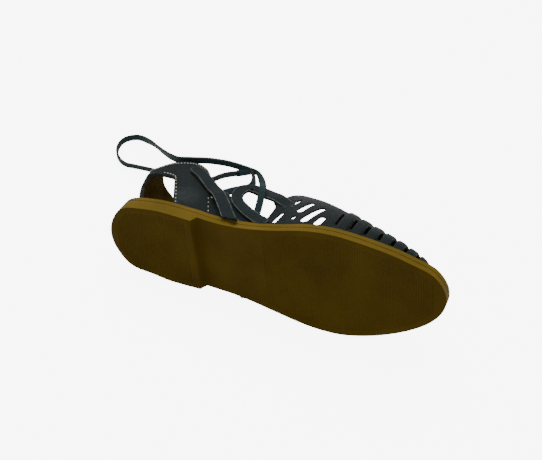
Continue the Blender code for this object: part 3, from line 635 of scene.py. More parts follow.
def mould(shape, bottom_of, top_of):
    """Extrude the flat sheet and lift both its faces to their heights."""
    grown = bmesh.ops.extrude_face_region(shape, geom=shape.faces[:])
    tops = {g for g in grown["geom"] if isinstance(g, bmesh.types.BMVert)}
    for vert in shape.verts:
        vert.co.z = top_of(vert.co.x) if vert in tops else bottom_of(vert.co.x)
    bmesh.ops.recalc_face_normals(shape, faces=shape.faces[:])


# %% Outsole with its ribs
RIB_PITCH = 0.0016
RIB_DEPTH = 0.00035
RIM_WIDTH = 0.0045
RIB_SHARES = (0.0, 0.18, 0.42, 0.60)
PUSHED_IN = (0.1, 0.5)
TREAD = ((0.006, HEEL_BREAST - 0.005), (0.125, SOLE_LENGTH - 0.007))
LOOKS_DOWN = -0.3
OUTSOLE_EDGE, MIDSOLE_EDGE, INSOLE_EDGE = 0.0007, 0.0008, 0.0006
STEEP = 60

outsole_shape = sheet_of_sole()
mould(outsole_shape, underside, lambda x: arch(x) + OUTSOLE_THICKNESS)
tread_layer = outsole_shape.faces.layers.int.new("tread")
bottom_faces = [f for f in outsole_shape.faces if f.normal.z < LOOKS_DOWN]
for width in (RIM_WIDTH, RIB_PITCH / 3):
    bmesh.ops.inset_region(outsole_shape, faces=bottom_faces, thickness=width, use_even_offset=True)
for face in bottom_faces:
    face[tread_layer] = 1


def tread_parts(shape):
    faces = [f for f in shape.faces if f[tread_layer] == 1]
    edges = {e for f in faces for e in f.edges}
    verts = {v for f in faces for v in f.verts}
    return [*verts, *edges, *faces]


grooves = []
for start, end in TREAD:
    count = int((end - start) / RIB_PITCH)
    grooves += [start + RIB_PITCH * k for k in range(count)]
cuts = [x + share * RIB_PITCH for x in grooves for share in RIB_SHARES]
slice_across(outsole_shape, 0, cuts, tread_parts)
tread_verts = {v for f in outsole_shape.faces if f[tread_layer] == 1 for v in f.verts}
for vert in tread_verts:
    for x in grooves:
        if x + PUSHED_IN[0] * RIB_PITCH < vert.co.x < x + PUSHED_IN[1] * RIB_PITCH:
            vert.co.z += RIB_DEPTH
outsole_shape.normal_update()
# Faces that look down take the darker, shaded copy of the rubber; all others take the lighter, lit copy.
for face in outsole_shape.faces:
    face.material_index = 0 if face.normal.z < LOOKS_DOWN else 1
outsole = piece("outsole_ribbed", outsole_shape, (sole_bottom_painted_shade, sole_wall_painted_light), ["outsole"])
soften(outsole, OUTSOLE_EDGE, STEEP)
print("ribs:", len(grooves))

# %% [markdown]
# The midsole is a thin layer whose lower rim is cut back. The cut leaves a groove that runs round
# the edge of the sole, and its faces are painted dark as shade. The insole is a smaller, lined sheet on top
# of it.

# %% Midsole and insole
GROOVE = 0.0018
INSOLE_TOE_INSET = 0.006

midsole_shape = sheet_of_sole()
mould(midsole_shape, lambda x: arch(x) + OUTSOLE_THICKNESS + FIT, lambda x: seat(x) - FIT)


def on_lower_rim(edge):
    """Is this a sharp edge on the underside of the midsole?"""
    middle = (edge.verts[0].co.z + edge.verts[1].co.z) / 2
    return edge.calc_face_angle(0.0) > 1.0 and middle < seat(edge.verts[0].co.x) - MIDSOLE_THICKNESS / 2


# The bevel's faces take the second finish, a painted shade that darkens the groove.
bmesh.ops.bevel(
    midsole_shape, geom=[e for e in midsole_shape.edges if on_lower_rim(e)], offset=GROOVE,
    offset_type="OFFSET", segments=2, profile=0.5, affect="EDGES", material=1, clamp_overlap=True)
midsole = piece("midsole_rounded", midsole_shape, (sole_wall_painted_light, painted_groove_shade), ["midsole"])
soften(midsole, MIDSOLE_EDGE, STEEP)

insole_inset = UPPER_INSET + QUARTER_LEATHER + 2 * FIT
insole_shape = sheet_of_sole(insole_inset, INSOLE_TOE_INSET)
mould(insole_shape, seat, lambda x: seat(x) + INSOLE_THICKNESS)
insole = piece("insole_lined", insole_shape, (lining_suede,), ["insole"])
soften(insole, INSOLE_EDGE, STEEP)

# %% [markdown]
# The heel quarters are one piece of leather wrapped round the heel. It is drawn flat: across
# goes round the outline from the inner side to the outer one, and up goes from the sole to the
# collar. Both windows and the two slits for the straps are cut in the flat, then the panel is
# sliced into a lattice and every point is carried to the form of the heel.

# %% Quarters, drawn flat
WINDOW_FRONT = 0.0486
WINDOW_HEIGHT = 0.037
WINDOW_CORNER = 0.006
WINDOW_BACK_EDGE = {
    "height": (1.0, 0.946, 0.838, 0.811, 0.486, -0.1),
    OUTER: (0.500, 0.420, 0.370, 0.380, 0.490, 0.620),
    INNER: (0.206, 0.103, 0.051, 0.062, 0.154, 0.237),
}
SLIT = ((0.0388, 0.0622), (0.0588, 0.0453))
SLIT_RADII = (0.0011, 0.0005)
FRONT_REACH = 0.0085
FRONT_PART, LOW_PART = (0.80, 1.0), (0.35, 0.85)
QUARTER_COLUMN, QUARTER_ROW = 0.028, 0.042
QUARTER_EDGE = 0.0005


def quarter_base(across):
    return QUARTER_REACH * math.sin(math.pi / 2 * min(abs(across), 1.0)) ** 2


def quarter_place(across, up, lift=0.0):
    """The place on the heel's form; low at the front the panel runs on a little, under the strap."""
    side = INNER if across < 0 else OUTER
    base = quarter_base(across)
    foot = seat(base)
    z = foot + up * (collar_height(base, side) - foot)
    base += FRONT_REACH * smoothstep(abs(across), *FRONT_PART) * (1 - smoothstep(up, *LOW_PART))
    return rear_point(base, side, z, lift)


# %% Windows and slits in the flat
def quarter_flat(x, z, side):
    """Where a point given in side view lies in the flat pattern."""
    low, high = 0.0, QUARTER_REACH
    for _ in range(30):
        base = (low + high) / 2
        low, high = (base, high) if rear_point(base, side, z).x < x else (low, base)
    across = side * 2 / math.pi * math.asin(math.sqrt(min(base / QUARTER_REACH, 1.0)))
    return across, (z - seat(base)) / (collar_height(base, side) - seat(base))


def window_outline(side):
    """The window in side view, from the foot of its front edge to the foot of its back edge."""
    foot = seat(0.0)
    lean = COLLAR_LEAN * (WINDOW_HEIGHT - WINDOW_CORNER)
    low = Vector((WINDOW_FRONT + WINDOW_CORNER / 3, foot - 0.1 * WINDOW_HEIGHT))
    centre = Vector((WINDOW_FRONT - lean - WINDOW_CORNER, foot + WINDOW_HEIGHT - WINDOW_CORNER))
    points = [low]
    for k in range(9):
        turn = math.pi / 2 * k / 8
        points.append(centre + WINDOW_CORNER * Vector((math.cos(turn), math.sin(turn))))
    for height, edge in zip(WINDOW_BACK_EDGE["height"], WINDOW_BACK_EDGE[side]):
        points.append(Vector((edge * WINDOW_FRONT, foot + height * WINDOW_HEIGHT)))
    points[0] = points[0].lerp(points[1], (foot - points[0].y) / (points[1].y - points[0].y))
    points[-1] = points[-1].lerp(points[-2], (foot - points[-1].y) / (points[-2].y - points[-1].y))
    fine = []
    for a, b in zip(points, points[1:]):
        fine += [a.lerp(b, k / 4) for k in range(4)]
    return fine + [points[-1]]


def rounded_slot(start, end, radii, sides=10):
    """The outline of a slot with round ends, in the same units as its points."""
    start, end = Vector(start), Vector(end)
    heading = math.atan2(end.y - start.y, end.x - start.x)
    outline = []
    for centre, radius, aside in ((end, radii[1], -math.pi / 2), (start, radii[0], math.pi / 2)):
        for k in range(sides + 1):
            turn = heading + aside + math.pi * k / sides
            outline.append(centre + radius * Vector((math.cos(turn), math.sin(turn))))
    return outline


# %% Quarters, cut out and wrapped round the heel
notches = {side: [quarter_flat(p.x, p.y, side) for p in window_outline(side)] for side in (INNER, OUTER)}
slits = [
    [quarter_flat(p.x, p.y, side) for p in rounded_slot(*SLIT, SLIT_RADII, 6)]
    for side in (INNER, OUTER)
]
quarter_edge = [(-1.0, 0.0)] + [(across, max(up, 0.0)) for across, up in notches[INNER]]
quarter_edge += [(across, max(up, 0.0)) for across, up in reversed(notches[OUTER])] + [(1.0, 0.0)]
quarter_edge += [(1.0 - k / 24, 1.0) for k in range(49)]
columns, rows = spread(-1.0, 1.0, QUARTER_COLUMN), spread(0.0, 1.0, QUARTER_ROW)
quarters_shape = flat_pattern(quarter_edge, slits, columns, rows)
bend(quarters_shape, quarter_place, lambda centre: Vector((centre.x - HEEL_BREAST, 2.0 * centre.y, 0.0)))
upper_finishes = (upper_leather, lining_suede, cut_edge)
quarters = piece("heel_quarters_cut", quarters_shape, upper_finishes, ["heel_quarters"])
thicken(quarters, QUARTER_LEATHER, QUARTER_EDGE)

# %% [markdown]
# The vamp is drawn flat too: x along the foot, and the angle round it from the inner side to
# the outer one. Its front is a row of bands raised over the toes, with open gaps low on both
# sides, and its back has six slots on each side. A slot is round where it lies on the form, so
# in the flat it is stretched by the local size of the form.

# %% Bands over the toes
BAND_RISE = 0.00138
BAND_COUNT = 8
BAND_START = 0.684 * SOLE_LENGTH
BAND_PITCH = 0.0417 * SOLE_LENGTH
BAND_NARROWING = 0.00165 * SOLE_LENGTH
BAND_GAP = 0.0094 * SOLE_LENGTH
OPEN_GAPS = ((6.0, 32.0), (148.0, 174.0))
VAMP_SLOTS = (
    {"low": (0.519, 27), "high": (0.531, 36), "radii": (0.0020, 0.0014)},
    {"low": (0.558, 19), "high": (0.576, 33), "radii": (0.0030, 0.0023)},
    {"low": (0.592, 7), "high": (0.620, 26), "radii": (0.0034, 0.0023)},
    {"low": (0.634, 4.5), "high": (0.639, 10.5), "radii": (0.0029, 0.0026)},
    {"low": (0.505, 3.5), "high": (0.512, 12), "radii": (0.0017, 0.0014)},
    {"low": (0.553, 8.0), "high": (0.556, 9.7), "radii": (0.0016, 0.0011)},
)
DEGREE = 0.0006
THIN_LEATHER = 0.0012
TAB_REACH, TAB_ANGLE, TAB_SPREAD = 0.0065, 29.0, 6.5
TIP = SOLE_LENGTH - TIP_INSET
TIP_FADE = 0.004
GAP_ROUNDING = 0.4
VAMP_COLUMN, VAMP_ROW = 0.0024, 4.0
BAND_SHARES = (0.0, 0.05, 0.15, 0.35, 0.65, 0.85, 0.95, 1.0)
VAMP_EDGE = 0.0003


def band_gap(band):
    return BAND_START + band * BAND_PITCH - BAND_NARROWING * band * (band - 1) / 2


def band_rise(x):
    """Height of a band's rounded top over the form; nothing between two bands."""
    for band in range(BAND_COUNT):
        start = band_gap(band) + BAND_GAP / 2
        end = band_gap(band + 1) - BAND_GAP / 2 if band < BAND_COUNT - 1 else TIP
        if start < x < end:
            share = abs(2 * (x - start) / (end - start) - 1)
            return BAND_RISE * math.sqrt(max(1 - share ** 5, 0.0)) * smoothstep(TIP - x, 0.0, TIP_FADE)
    return 0.0


def vamp_place(x, around):
    return last_point(x, around / DEGREE, band_rise(x))


# %% Slots and gaps in the flat
def slot_in_flat(slot, side):
    """One slot's outline on the flat pattern, round where it lies on the form."""
    marks = []
    for (share, angle), radius in zip((slot["low"], slot["high"]), slot["radii"]):
        x, angle = share * SOLE_LENGTH, angle if side == INNER else 180 - angle
        ahead = (last_point(x + NUDGE, angle) - last_point(x - NUDGE, angle)).length / (2 * NUDGE)
        round_it = (last_point(x, angle + 0.5) - last_point(x, angle - 0.5)).length / DEGREE
        for k in range(20):
            turn = 2 * math.pi * k / 20
            marks.append(Vector((
                x + radius / ahead * math.cos(turn), angle * DEGREE + radius / round_it * math.sin(turn))))
    return [marks[k] for k in geometry.convex_hull_2d(marks)]


def gap_in_flat(band, low, high):
    """The open low end of a gap between two bands, with softly rounded corners."""
    middle, half = (low + high) / 2 * DEGREE, (high - low) / 2 * DEGREE
    outline = []
    for k in range(20):
        turn = 2 * math.pi * (k + 0.5) / 20
        across, up = math.cos(turn), math.sin(turn)
        outline.append(Vector((
            band_gap(band) + 0.5 * BAND_GAP * math.copysign(abs(across) ** GAP_ROUNDING, across),
            middle + half * math.copysign(abs(up) ** GAP_ROUNDING, up))))
    return outline


def throat_with_tabs(angle):
    """The throat, with a tab under the root of each instep loop that meets it in a fillet."""
    lean = min(angle, 180.0 - angle)
    return throat(angle) - TAB_REACH * math.exp(-((lean - TAB_ANGLE) / TAB_SPREAD) ** 2)


# %% The vamp, cut out and bent
holes = [slot_in_flat(slot, side) for slot in VAMP_SLOTS for side in (INNER, OUTER)]
holes += [gap_in_flat(band, low, high) for band in range(BAND_COUNT) for low, high in OPEN_GAPS]
vamp_edge = [(throat_with_tabs(3.0 * k), 3.0 * k * DEGREE) for k in range(61)]
vamp_edge = [(TIP, 0.0), (TIP, 180 * DEGREE)] + vamp_edge[::-1]
plain_end = BAND_START - BAND_GAP / 2
columns = spread(throat(0.0) - TAB_REACH, plain_end, VAMP_COLUMN) + [plain_end]
for band in range(BAND_COUNT - 1):
    start, end = band_gap(band) + BAND_GAP / 2, band_gap(band + 1) - BAND_GAP / 2
    columns += [start + (end - start) * share for share in BAND_SHARES]
last_start = band_gap(BAND_COUNT - 1) + BAND_GAP / 2
columns += [last_start + (TIP - last_start) * math.sin(math.pi / 2 * k / 14) for k in range(14)]
vamp_shape = flat_pattern(vamp_edge, holes, columns, spread(0.0, 180 * DEGREE, VAMP_ROW * DEGREE))
bend(vamp_shape, vamp_place, lambda centre: Vector((0.0, centre.y, centre.z - seat(centre.x) + 0.01)))
vamp = piece("vamp_cut_out", vamp_shape, upper_finishes, ["vamp"])
thicken(vamp, THIN_LEATHER, VAMP_EDGE)

# %% [markdown]
# Straps and lace are flat strips that follow a route. A plain grid is stretched along the route,
# its points stand closer at the round ends, and its middle is raised a little so that light
# rolls over it. The routes follow those of the solids in the frame, but the ends that show run on
# a little, into the vamp and over the sole's edge, as on the real shoe.

# %% A flat strip along a route
STRAP_WIDTH = 0.0092
STRAP_LEATHER = 0.0020
STRAP_EDGE = 0.0004
LOOP_WIDTH = 0.0086
LACE_WIDTH = 0.0052
LACE_THICKNESS = 0.0018
LACE_CROWN = 0.0001


def distances(points):
    """How far along a route each of its points lies."""
    marks = [0.0]
    for p, q in zip(points, points[1:]):
        marks.append(marks[-1] + (q - p).length)
    return marks


def smooth_route(points, count):
    """Evenly spaced places on a smooth curve through a few points."""
    route = [Vector(p) for p in points]
    ends = [route[0] * 2 - route[1], *route, route[-1] * 2 - route[-2]]
    fine = []
    for a, b, c, d in zip(ends, ends[1:], ends[2:], ends[3:]):
        for k in range(12):
            t = k / 12
            fine.append(0.5 * (2 * b + (c - a) * t + (2 * a - 5 * b + 4 * c - d) * t ** 2
                               + (3 * b - 3 * c + d - a) * t ** 3))
    fine.append(route[-1])
    marks = distances(fine)
    places, cursor = [], 0
    for k in range(count):
        mark = marks[-1] * k / (count - 1)
        while cursor < len(marks) - 2 and marks[cursor + 1] < mark:
            cursor += 1
        span = max(marks[cursor + 1] - marks[cursor], 1e-9)
        places.append(fine[cursor].lerp(fine[cursor + 1], min((mark - marks[cursor]) / span, 1.0)))
    return places


def strip(
    centres, normals, width, thickness, crown=0.00015, floor_of=None, round_ends=True, spacing=0.0015,
    wider=()):
    """A skin over a flat strip, with round ends, from closely spaced centres and face directions.

    wider holds (side, middle, reach, extra): an edge goes out or in around a share of the route."""
    total = distances(centres)[-1]
    radius = width / 2 if round_ends else spacing
    round_end = [radius * (1 - math.cos(math.pi / 2 * k / 7)) for k in range(8)]
    straight = [radius + s for s in spread(0.0, total - 2 * radius, spacing)]
    stations = round_end + straight + [total - s for s in reversed(round_end)]
    last = len(centres) - 1
    shape = bmesh.new()
    rows = len(stations) - 1
    bmesh.ops.create_grid(shape, x_segments=rows, y_segments=6, size=1.0)
    nearness = shape.verts.layers.float.new("edge")
    facing = {}
    for vert in shape.verts:
        row = round((vert.co.x + 1) / 2 * rows)
        across_share = vert.co.y
        index = clamp(stations[row] / total) * last
        k = min(int(index), last - 1)
        centre = centres[k].lerp(centres[k + 1], index - k)
        normal = normals[k].lerp(normals[k + 1], index - k)
        along = (centres[min(k + 2, last)] - centres[max(k - 1, 0)]).normalized()
        across = normal.cross(along).normalized()
        normal = along.cross(across).normalized()
        half = width / 2
        if round_ends:
            left = min(stations[row], total - stations[row], half)
            half = max(math.sqrt(max(half ** 2 - (half - left) ** 2, 0.0)), 0.08 * half)
        # The finish reads this nearness to the edge for its pale rims of wear and painted highlight.
        vert[nearness] = abs(across_share)
        if round_ends:
            vert[nearness] = max(vert[nearness], 1 - min(stations[row], total - stations[row]) / (width / 2))
        for edge, middle, reach, extra in wider:
            if across_share * edge > 0:
                half += extra * math.exp(-((stations[row] / total - middle) / reach) ** 2)
        point = centre + across * half * across_share
        point += normal * (thickness / 2 + crown * (1 - across_share ** 2))
        if floor_of:
            spare = point.z - floor_of(point.x) - 1.5 * FIT
            point.z += (math.sqrt(spare ** 2 + FIT ** 2) - spare) / 2
        vert.co = point
        facing[vert.index] = normal
    return turn_outward(shape, lambda face: facing[face.verts[0].index])


def add_to(shape, other):
    """Move everything of one bmesh into another."""
    spare = bpy.data.meshes.new("spare")
    other.to_mesh(spare)
    other.free()
    shape.from_mesh(spare)
    bpy.data.meshes.remove(spare)


# %% [markdown]
# On each side a strap comes out of the quarter's slit and runs down to the sole. A long loop
# grows out of the vamp and turns back to the sole, and a short band lies under it at the waist.

# %% Straps
QUARTER_STRAP_ROUTE = (
    (0.142, 0.910), (0.169, 0.835), (0.211, 0.686), (0.255, 0.518), (0.291, 0.370), (0.321, 0.227),
    (0.350, 0.075), (0.369, -0.030), (0.387, -0.120), (0.402, -0.200),
)
OUT_OF_SLIT = 0.205 * SOLE_LENGTH
STRAP_TUCK = 0.0044
LOOP_TUCK = 0.0010
INSTEP_LOOP_ROUTE = (
    (0.525, 23.6), (0.500, 26.5), (0.465, 31.5), (0.430, 36), (0.395, 39.5), (0.369, 40.5), (0.349, 38.5),
    (0.336, 33), (0.336, 26), (0.344, 19.5), (0.362, 14), (0.393, 9.5), (0.430, 5.2), (0.465, 1.8),
    (0.495, 0.2),
)
LOOP_WIDER = ((-1, 0.40, 0.11, 0.0026), (-1, 0.28, 0.14, 0.0036))
WAIST_STRAP_ROUTE = ((0.285, 21), (0.314, 16.5), (0.346, 11.5), (0.377, 7), (0.405, 3.5), (0.430, 1.5))
LOOP_SUNK = 1.4 * STRAP_LEATHER
SUNK_SHARES = (0.02, 0.17)
SLIT_START = 0.150 * SOLE_LENGTH
LOOP_CROSSING = (0.25 * SOLE_LENGTH, 0.30 * SOLE_LENGTH)
FINE = 240


def side_strip(side, route, lift, sunk=0.0, wider=()):
    """A strap that lies along the foot's form, down to the sole; its start may sink into the vamp."""
    centres, normals = [], []
    for k, place in enumerate(smooth_route([(share, angle / 100, 0.0) for share, angle in route], FINE)):
        x = place.x * SOLE_LENGTH
        angle = place.y * 100 if side == INNER else 180 - place.y * 100
        normal = last_normal(x, angle)
        depth = sunk * (1 - smoothstep(k / FINE, *SUNK_SHARES))
        centres.append(last_point(x, angle) + normal * (lift - depth))
        normals.append(normal)
    wider = [(edge * side, *rest) for edge, *rest in wider]
    return strip(
        centres, normals, LOOP_WIDTH, STRAP_LEATHER, floor_of=lambda x: seat(x) - LOOP_TUCK, wider=wider)


def quarter_strip(side):
    """The strap that comes out of the quarter's slit and runs down and forward over the loop."""
    lift = FIT + STRAP_LEATHER / 2 + NUDGE
    route = [(share * SOLE_LENGTH, 0.0, rise * QUARTER_HEIGHT) for share, rise in QUARTER_STRAP_ROUTE]
    centres, normals = [], []
    for p in smooth_route(route, FINE):
        z = seat(0.0) + p.z
        over_loop = smoothstep(p.x, *LOOP_CROSSING) * (STRAP_LEATHER + 5 * FIT)
        in_slit = STRAP_LEATHER * (1 - smoothstep(p.x, SLIT_START, OUT_OF_SLIT))
        centres.append(side_point(p.x, z, side, lift + (over_loop - in_slit)))
        normals.append(side_normal(p.x, z, side, lift))
    return strip(centres, normals, STRAP_WIDTH, STRAP_LEATHER, floor_of=lambda x: seat(x) - STRAP_TUCK)


loop_lift = FIT + STRAP_LEATHER / 2 + 2 * NUDGE
under_lift = loop_lift - STRAP_LEATHER - FIT - NUDGE
strap_finishes = (strap_leather, cut_edge, cut_edge)
for side, word in ((INNER, "inner"), (OUTER, "outer")):
    for name, shape in (
        (f"quarter_strap_{word}", quarter_strip(side)),
        (f"instep_loop_{word}", side_strip(side, INSTEP_LOOP_ROUTE, loop_lift, LOOP_SUNK, LOOP_WIDER)),
        (f"waist_strap_{word}", side_strip(side, WAIST_STRAP_ROUTE, under_lift)),
    ):
        thicken(piece(f"{name}_soft", shape, strap_finishes, [name]), STRAP_LEATHER, STRAP_EDGE)

# %% [markdown]
# The lace is one flat thong. A round tube along a curve would be quicker, but a thong shows now its
# face and now its thin edge, so it is a strip whose face direction turns on the way. Three short
# runs cross on the instep, where the frame holds them as one solid. The long loop behind the heel
# is free: it is a strip of its own along its route.

# %% Lace over the instep
LACE_CROSSING_ROUTE = (
    (0.069, -0.0195, 0.087), (0.076, -0.0195, 0.086), (0.0832, -0.0197, 0.0838), (0.088, -0.0202, 0.0792),
    (0.093, -0.0214, 0.072), (0.0978, -0.024, 0.0635), (0.1022, -0.0268, 0.0545), (0.1052, -0.0274, 0.0455),
    (0.1068, -0.0238, 0.037), (0.1078, -0.021, 0.029), (0.1085, -0.0202, 0.02), (0.109, -0.0202, 0.015),
)
LACE_RETURN_ROUTE = (
    (0.08, -0.0188, 0.084), (0.0824, -0.0172, 0.08), (0.0846, -0.0164, 0.075), (0.085, -0.016, 0.07),
    (0.0825, -0.016, 0.0655), (0.0785, -0.0163, 0.0622), (0.075, -0.0166, 0.059), (0.0714, -0.017, 0.055),
    (0.0692, -0.0172, 0.051), (0.068, -0.0172, 0.046),
)
LACE_JOIN_ROUTE = (
    (0.069, -0.0172, 0.0818), (0.0735, -0.0174, 0.0834), (0.079, -0.018, 0.0842), (0.0825, -0.0184, 0.084),
)
CROSSING_FACE = ((0.10, -0.30, -0.90), (0.45, -0.72, -0.40), (0.55, -0.75, -0.30), (0.45, -0.80, -0.30))
RETURN_FACE = ((0.75, 0.10, -0.10), (0.60, -0.30, -0.30), (0.20, -0.90, 0.10))
JOIN_FACE = ((0.00, -0.75, -0.65), (0.05, -0.60, -0.78), (0.10, -0.40, -0.90))


def longer(points, start, end):
    """The same route, run on in a straight line at its two ends."""
    places = [Vector(p) for p in points]
    head = places[0] + (places[0] - places[1]).normalized() * start
    tail = places[-1] + (places[-1] - places[-2]).normalized() * end
    return [head, *places, tail]


def pinched(middle, reach, depth):
    """Both edges of a strip go in around one share of its route."""
    return [(edge, middle, reach, -depth) for edge in (1, -1)]


def thong(centres, faces, spacing, wider=()):
    return strip(
        centres, faces, LACE_WIDTH, LACE_THICKNESS, crown=LACE_CROWN, round_ends=False, spacing=spacing,
        wider=wider)


lace_finishes = (lace_leather, lace_leather, cut_edge)
crossing_shape = bmesh.new()
for route, faces, before, wider in (
    (LACE_CROSSING_ROUTE, CROSSING_FACE, 0.0015, pinched(0.16, 0.14, 0.0009)),
    (LACE_RETURN_ROUTE, RETURN_FACE, 0.0, ()),
    (LACE_JOIN_ROUTE, JOIN_FACE, 0.0015, pinched(1.0, 0.6, 0.0012)),
):
    run = smooth_route(longer(route, before, 0.0), FINE)
    add_to(crossing_shape, thong(run, [f.normalized() for f in smooth_route(faces, FINE)], 0.0012, wider))
crossing = piece("lace_over_instep", crossing_shape, lace_finishes, ["lace_crossing"])
thicken(crossing, LACE_THICKNESS, STRAP_EDGE)

# %% Free lace behind the heel
ANKLE_LACE_ROUTE = (
    (0.0683, -0.0195, 0.0871), (0.059, -0.0198, 0.0884), (0.051, -0.0206, 0.0877), (0.042, -0.0213, 0.0862),
    (0.034, -0.0214, 0.0845), (0.025, -0.0212, 0.0828), (0.016, -0.0202, 0.0826), (0.007, -0.0176, 0.088),
    (-0.003, -0.0138, 0.0965), (-0.014, -0.0092, 0.107), (-0.026, -0.0042, 0.119), (-0.038, 0.0006, 0.1305),
    (-0.05, 0.0052, 0.1405), (-0.06, 0.0086, 0.1478), (-0.068, 0.01, 0.15), (-0.0745, 0.0098, 0.1445),
    (-0.076, 0.01, 0.136), (-0.073, 0.0108, 0.1255), (-0.066, 0.012, 0.1165), (-0.0571, 0.0134, 0.1115),
    (-0.046, 0.0149, 0.1125), (-0.035, 0.0155, 0.1125), (-0.024, 0.0125, 0.107), (-0.012, 0.008, 0.099),
    (0.004, 0.0015, 0.089), (0.02, -0.006, 0.079), (0.034, -0.012, 0.0705), (0.045, -0.0158, 0.066),
    (0.053, -0.0178, 0.0665), (0.0592, -0.0184, 0.0732), (0.0636, -0.0176, 0.0782),
    (0.0683, -0.0172, 0.0814),
)
LACE_TURN = {
    "share": (0.0, 0.16, 0.24, 0.34, 0.40, 0.52, 0.60, 1.0),
    "lean": (0.1, 0.1, 0.6, 0.65, 0.15, 0.1, 0.4, 0.4),
}
UPRIGHT = LYING.to_3x3().transposed() @ Vector((0.0, 0.0, 1.0))
LEANING = LYING.to_3x3().transposed() @ Vector((0.327, -0.691, 0.645))
HIDDEN_END = 0.0012
FACE_DOWN_SHARE = 0.7

ankle_centres, ankle_faces = [], []
route = smooth_route(longer(ANKLE_LACE_ROUTE, HIDDEN_END, HIDDEN_END), FINE)
for k, place in enumerate(route):
    along = (route[min(k + 1, FINE - 1)] - route[max(k - 1, 0)]).normalized()
    lean = hermite(LACE_TURN, "lean", k / (FINE - 1))
    edge = UPRIGHT.lerp(LEANING, lean)
    edge = (edge - along * edge.dot(along)).normalized()
    height = (LYING @ place).z
    needed = LACE_WIDTH / 2 * abs(edge.dot(UPRIGHT)) + LACE_THICKNESS / 2 * FACE_DOWN_SHARE + NUDGE
    spare = height - needed
    ankle_centres.append(place + UPRIGHT * (math.sqrt(spare ** 2 + FIT ** 2) - spare) / 2)
    ankle_faces.append(along.cross(edge).normalized())
ankle_shape = thong(ankle_centres, ankle_faces, 0.002)
ankle_lace = piece("ankle_lace_flat", ankle_shape, lace_finishes, ["ankle_lace"])
thicken(ankle_lace, LACE_THICKNESS, STRAP_EDGE)

# %% [markdown]
# Seams hold the lining to the quarters: one row just below the collar, one along the window and
# one beside the strap. Every stitch is a small grain of thread, pressed a little into the leather.

# %% Stitches
STITCH_LENGTH = 0.0021
STITCH_RADIUS = 0.00060
COLLAR_PITCH, COLLAR_SIZE = 0.0023, 0.85
SEAM_UP = 0.965
SEAM_STEPS = 120
SEAMS = (
    (((0.0496, 0.0170), (0.0478, 0.0202), (0.0405, 0.0345), (0.0327, 0.0486)), 0.0048, 1.0),
    (((0.0327, 0.0486), (0.0300, 0.0522), (0.0255, 0.0535), (0.0190, 0.0537)), 0.0024, 1.0),
    (((0.0759, 0.0166), (0.0708, 0.0270), (0.0656, 0.0373)), 0.0048, 1.0),
    (((0.0680, 0.0374), (0.0694, 0.0362)), 0.0016, 1.4),
)


def stitch_rows(shape, places, normals, pitch, size=1.0):
    """Lay stitches end to end along a fine line of places on a surface."""
    marks = distances(places)
    count = max(int(marks[-1] / pitch), 1)
    for number in range(count):
        mark = (number + 0.5) * marks[-1] / count
        k = min(int(np.searchsorted(marks, mark)), len(places) - 1)
        along = (places[k] - places[k - 1]).normalized()
        normal = (normals[k] - along * normals[k].dot(along)).normalized()
        turn = Matrix((along, normal.cross(along), normal)).transposed().to_4x4()
        grown = bmesh.ops.create_icosphere(shape, subdivisions=1, radius=1.0)
        scale = Matrix.Diagonal((size * STITCH_LENGTH / 2, size * STITCH_RADIUS, size * STITCH_RADIUS, 1.0))
        bmesh.ops.transform(shape, matrix=Matrix.Translation(places[k]) @ turn @ scale, verts=grown["verts"])


def quarter_line(points, side, count=80):
    """A fine line over the quarters through a few side-view points, with the face directions."""
    line = smooth_route([(x, 0.0, z) for x, z in points], count)
    places = [side_point(p.x, p.z, side, 0.0) for p in line]
    return places, [side_normal(p.x, p.z, side, 0.0) for p in line]


stitches = bmesh.new()
for side in (INNER, OUTER):
    shares = [side * (0.04 + 0.95 * k / SEAM_STEPS) for k in range(SEAM_STEPS + 1)]
    collar_line = [quarter_place(across, SEAM_UP) for across in shares]
    lifted = [quarter_place(across, SEAM_UP, NUDGE) for across in shares]
    outward = [(high - low).normalized() for low, high in zip(collar_line, lifted)]
    stitch_rows(stitches, collar_line, outward, COLLAR_PITCH, COLLAR_SIZE)
    for line, pitch, size in SEAMS:
        stitch_rows(stitches, *quarter_line(line, side), pitch, size)
piece("seam_stitches", stitches, (thread,), ())

# %% [markdown]
# The camera looks down at the sole from the photographer's place. Its angles and its distance come
# from a fit to the sole's outline in the photo.

# %% Camera
EYE_AZIMUTH = 25.31
EYE_ELEVATION = 40.13
EYE_ROLL = 1.70
EYE_DISTANCE = 0.664
EYE_TARGET = Vector((-0.0017, -0.0241, 0.0649))
FOCAL_PIXELS = 952.0
PICTURE_WIDTH = 542
SENSOR_WIDTH = 36.0

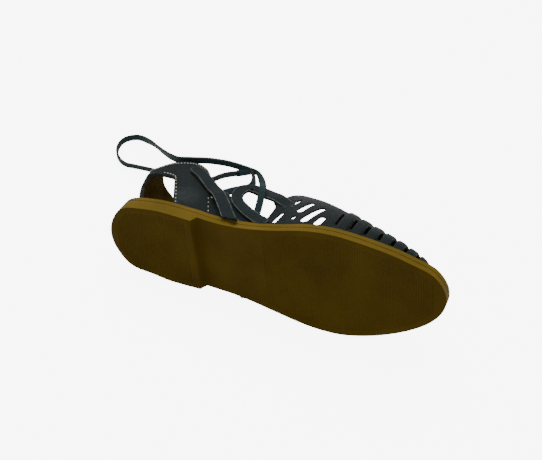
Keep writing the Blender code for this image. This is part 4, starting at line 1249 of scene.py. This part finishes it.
camera_data = bpy.data.cameras.new("camera")
camera_data.sensor_width = SENSOR_WIDTH
camera_data.lens = FOCAL_PIXELS / PICTURE_WIDTH * SENSOR_WIDTH
camera_data.clip_start = 0.01
camera = bpy.data.objects.new("camera", camera_data)
bpy.context.scene.collection.objects.link(camera)
bpy.context.scene.camera = camera
azimuth, elevation = math.radians(EYE_AZIMUTH), math.radians(EYE_ELEVATION)
towards_eye = Vector((
    math.sin(azimuth) * math.cos(elevation), -math.cos(azimuth) * math.cos(elevation), math.sin(elevation)))
level = towards_eye.to_track_quat("Z", "Y").to_matrix().to_4x4()
roll = Matrix.Rotation(math.radians(EYE_ROLL), 4, "Z")
camera.matrix_world = Matrix.Translation(EYE_TARGET + towards_eye * EYE_DISTANCE) @ level @ roll
print("lens (mm):", round(camera_data.lens, 1))

# %% [markdown]
# The photo was taken on a table so bright that it shows no shadow. The floor lights the shoe as
# plain white paper would, and only what the camera sees of it glows.

# %% Floor and light
FLOOR_GLOW = 7.0
SKY_STRENGTH = 0.5
bpy.ops.mesh.primitive_plane_add(size=6.0)
floor = bpy.context.object
floor.name = "floor"
floor_finish = bpy.data.materials.new("floor_white")
floor_finish.use_nodes = True
floor_shader = floor_finish.node_tree.nodes["Principled BSDF"]
floor_shader.inputs["Base Color"].default_value = (0.93, 0.93, 0.93, 1.0)
floor_shader.inputs["Roughness"].default_value = 0.9
floor_shader.inputs["Emission Color"].default_value = (1.0, 1.0, 1.0, 1.0)
seen = floor_finish.node_tree.nodes.new("ShaderNodeLightPath")
glow = calculate(floor_finish.node_tree, "MULTIPLY", seen.outputs["Is Camera Ray"], FLOOR_GLOW)
link(floor_finish.node_tree, glow, floor_shader.inputs["Emission Strength"])
floor.data.materials.append(floor_finish)

studio = bpy.data.worlds.new("studio")
bpy.context.scene.world = studio
studio.use_nodes = True
sky = studio.node_tree.nodes["Background"]
sky.inputs["Color"].default_value = (1.0, 1.0, 1.0, 1.0)
sky.inputs["Strength"].default_value = SKY_STRENGTH


def softbox(name, place, size, power):
    """A square lamp that looks at the shoe."""
    light = bpy.data.lights.new(name, "AREA")
    light.size = size
    light.energy = power
    box = bpy.data.objects.new(name, light)
    bpy.context.scene.collection.objects.link(box)
    aimed = (-Vector(place)).to_track_quat("-Z", "Y").to_matrix().to_4x4()
    box.matrix_world = Matrix.Translation(place) @ aimed


softbox("overhead", (-0.3, 0.3, 1.3), 1.2, 14.0)
softbox("front", (0.5, -1.1, 0.7), 0.9, 4.0)
print("lamps:", ", ".join(lamp.name for lamp in bpy.data.lights))
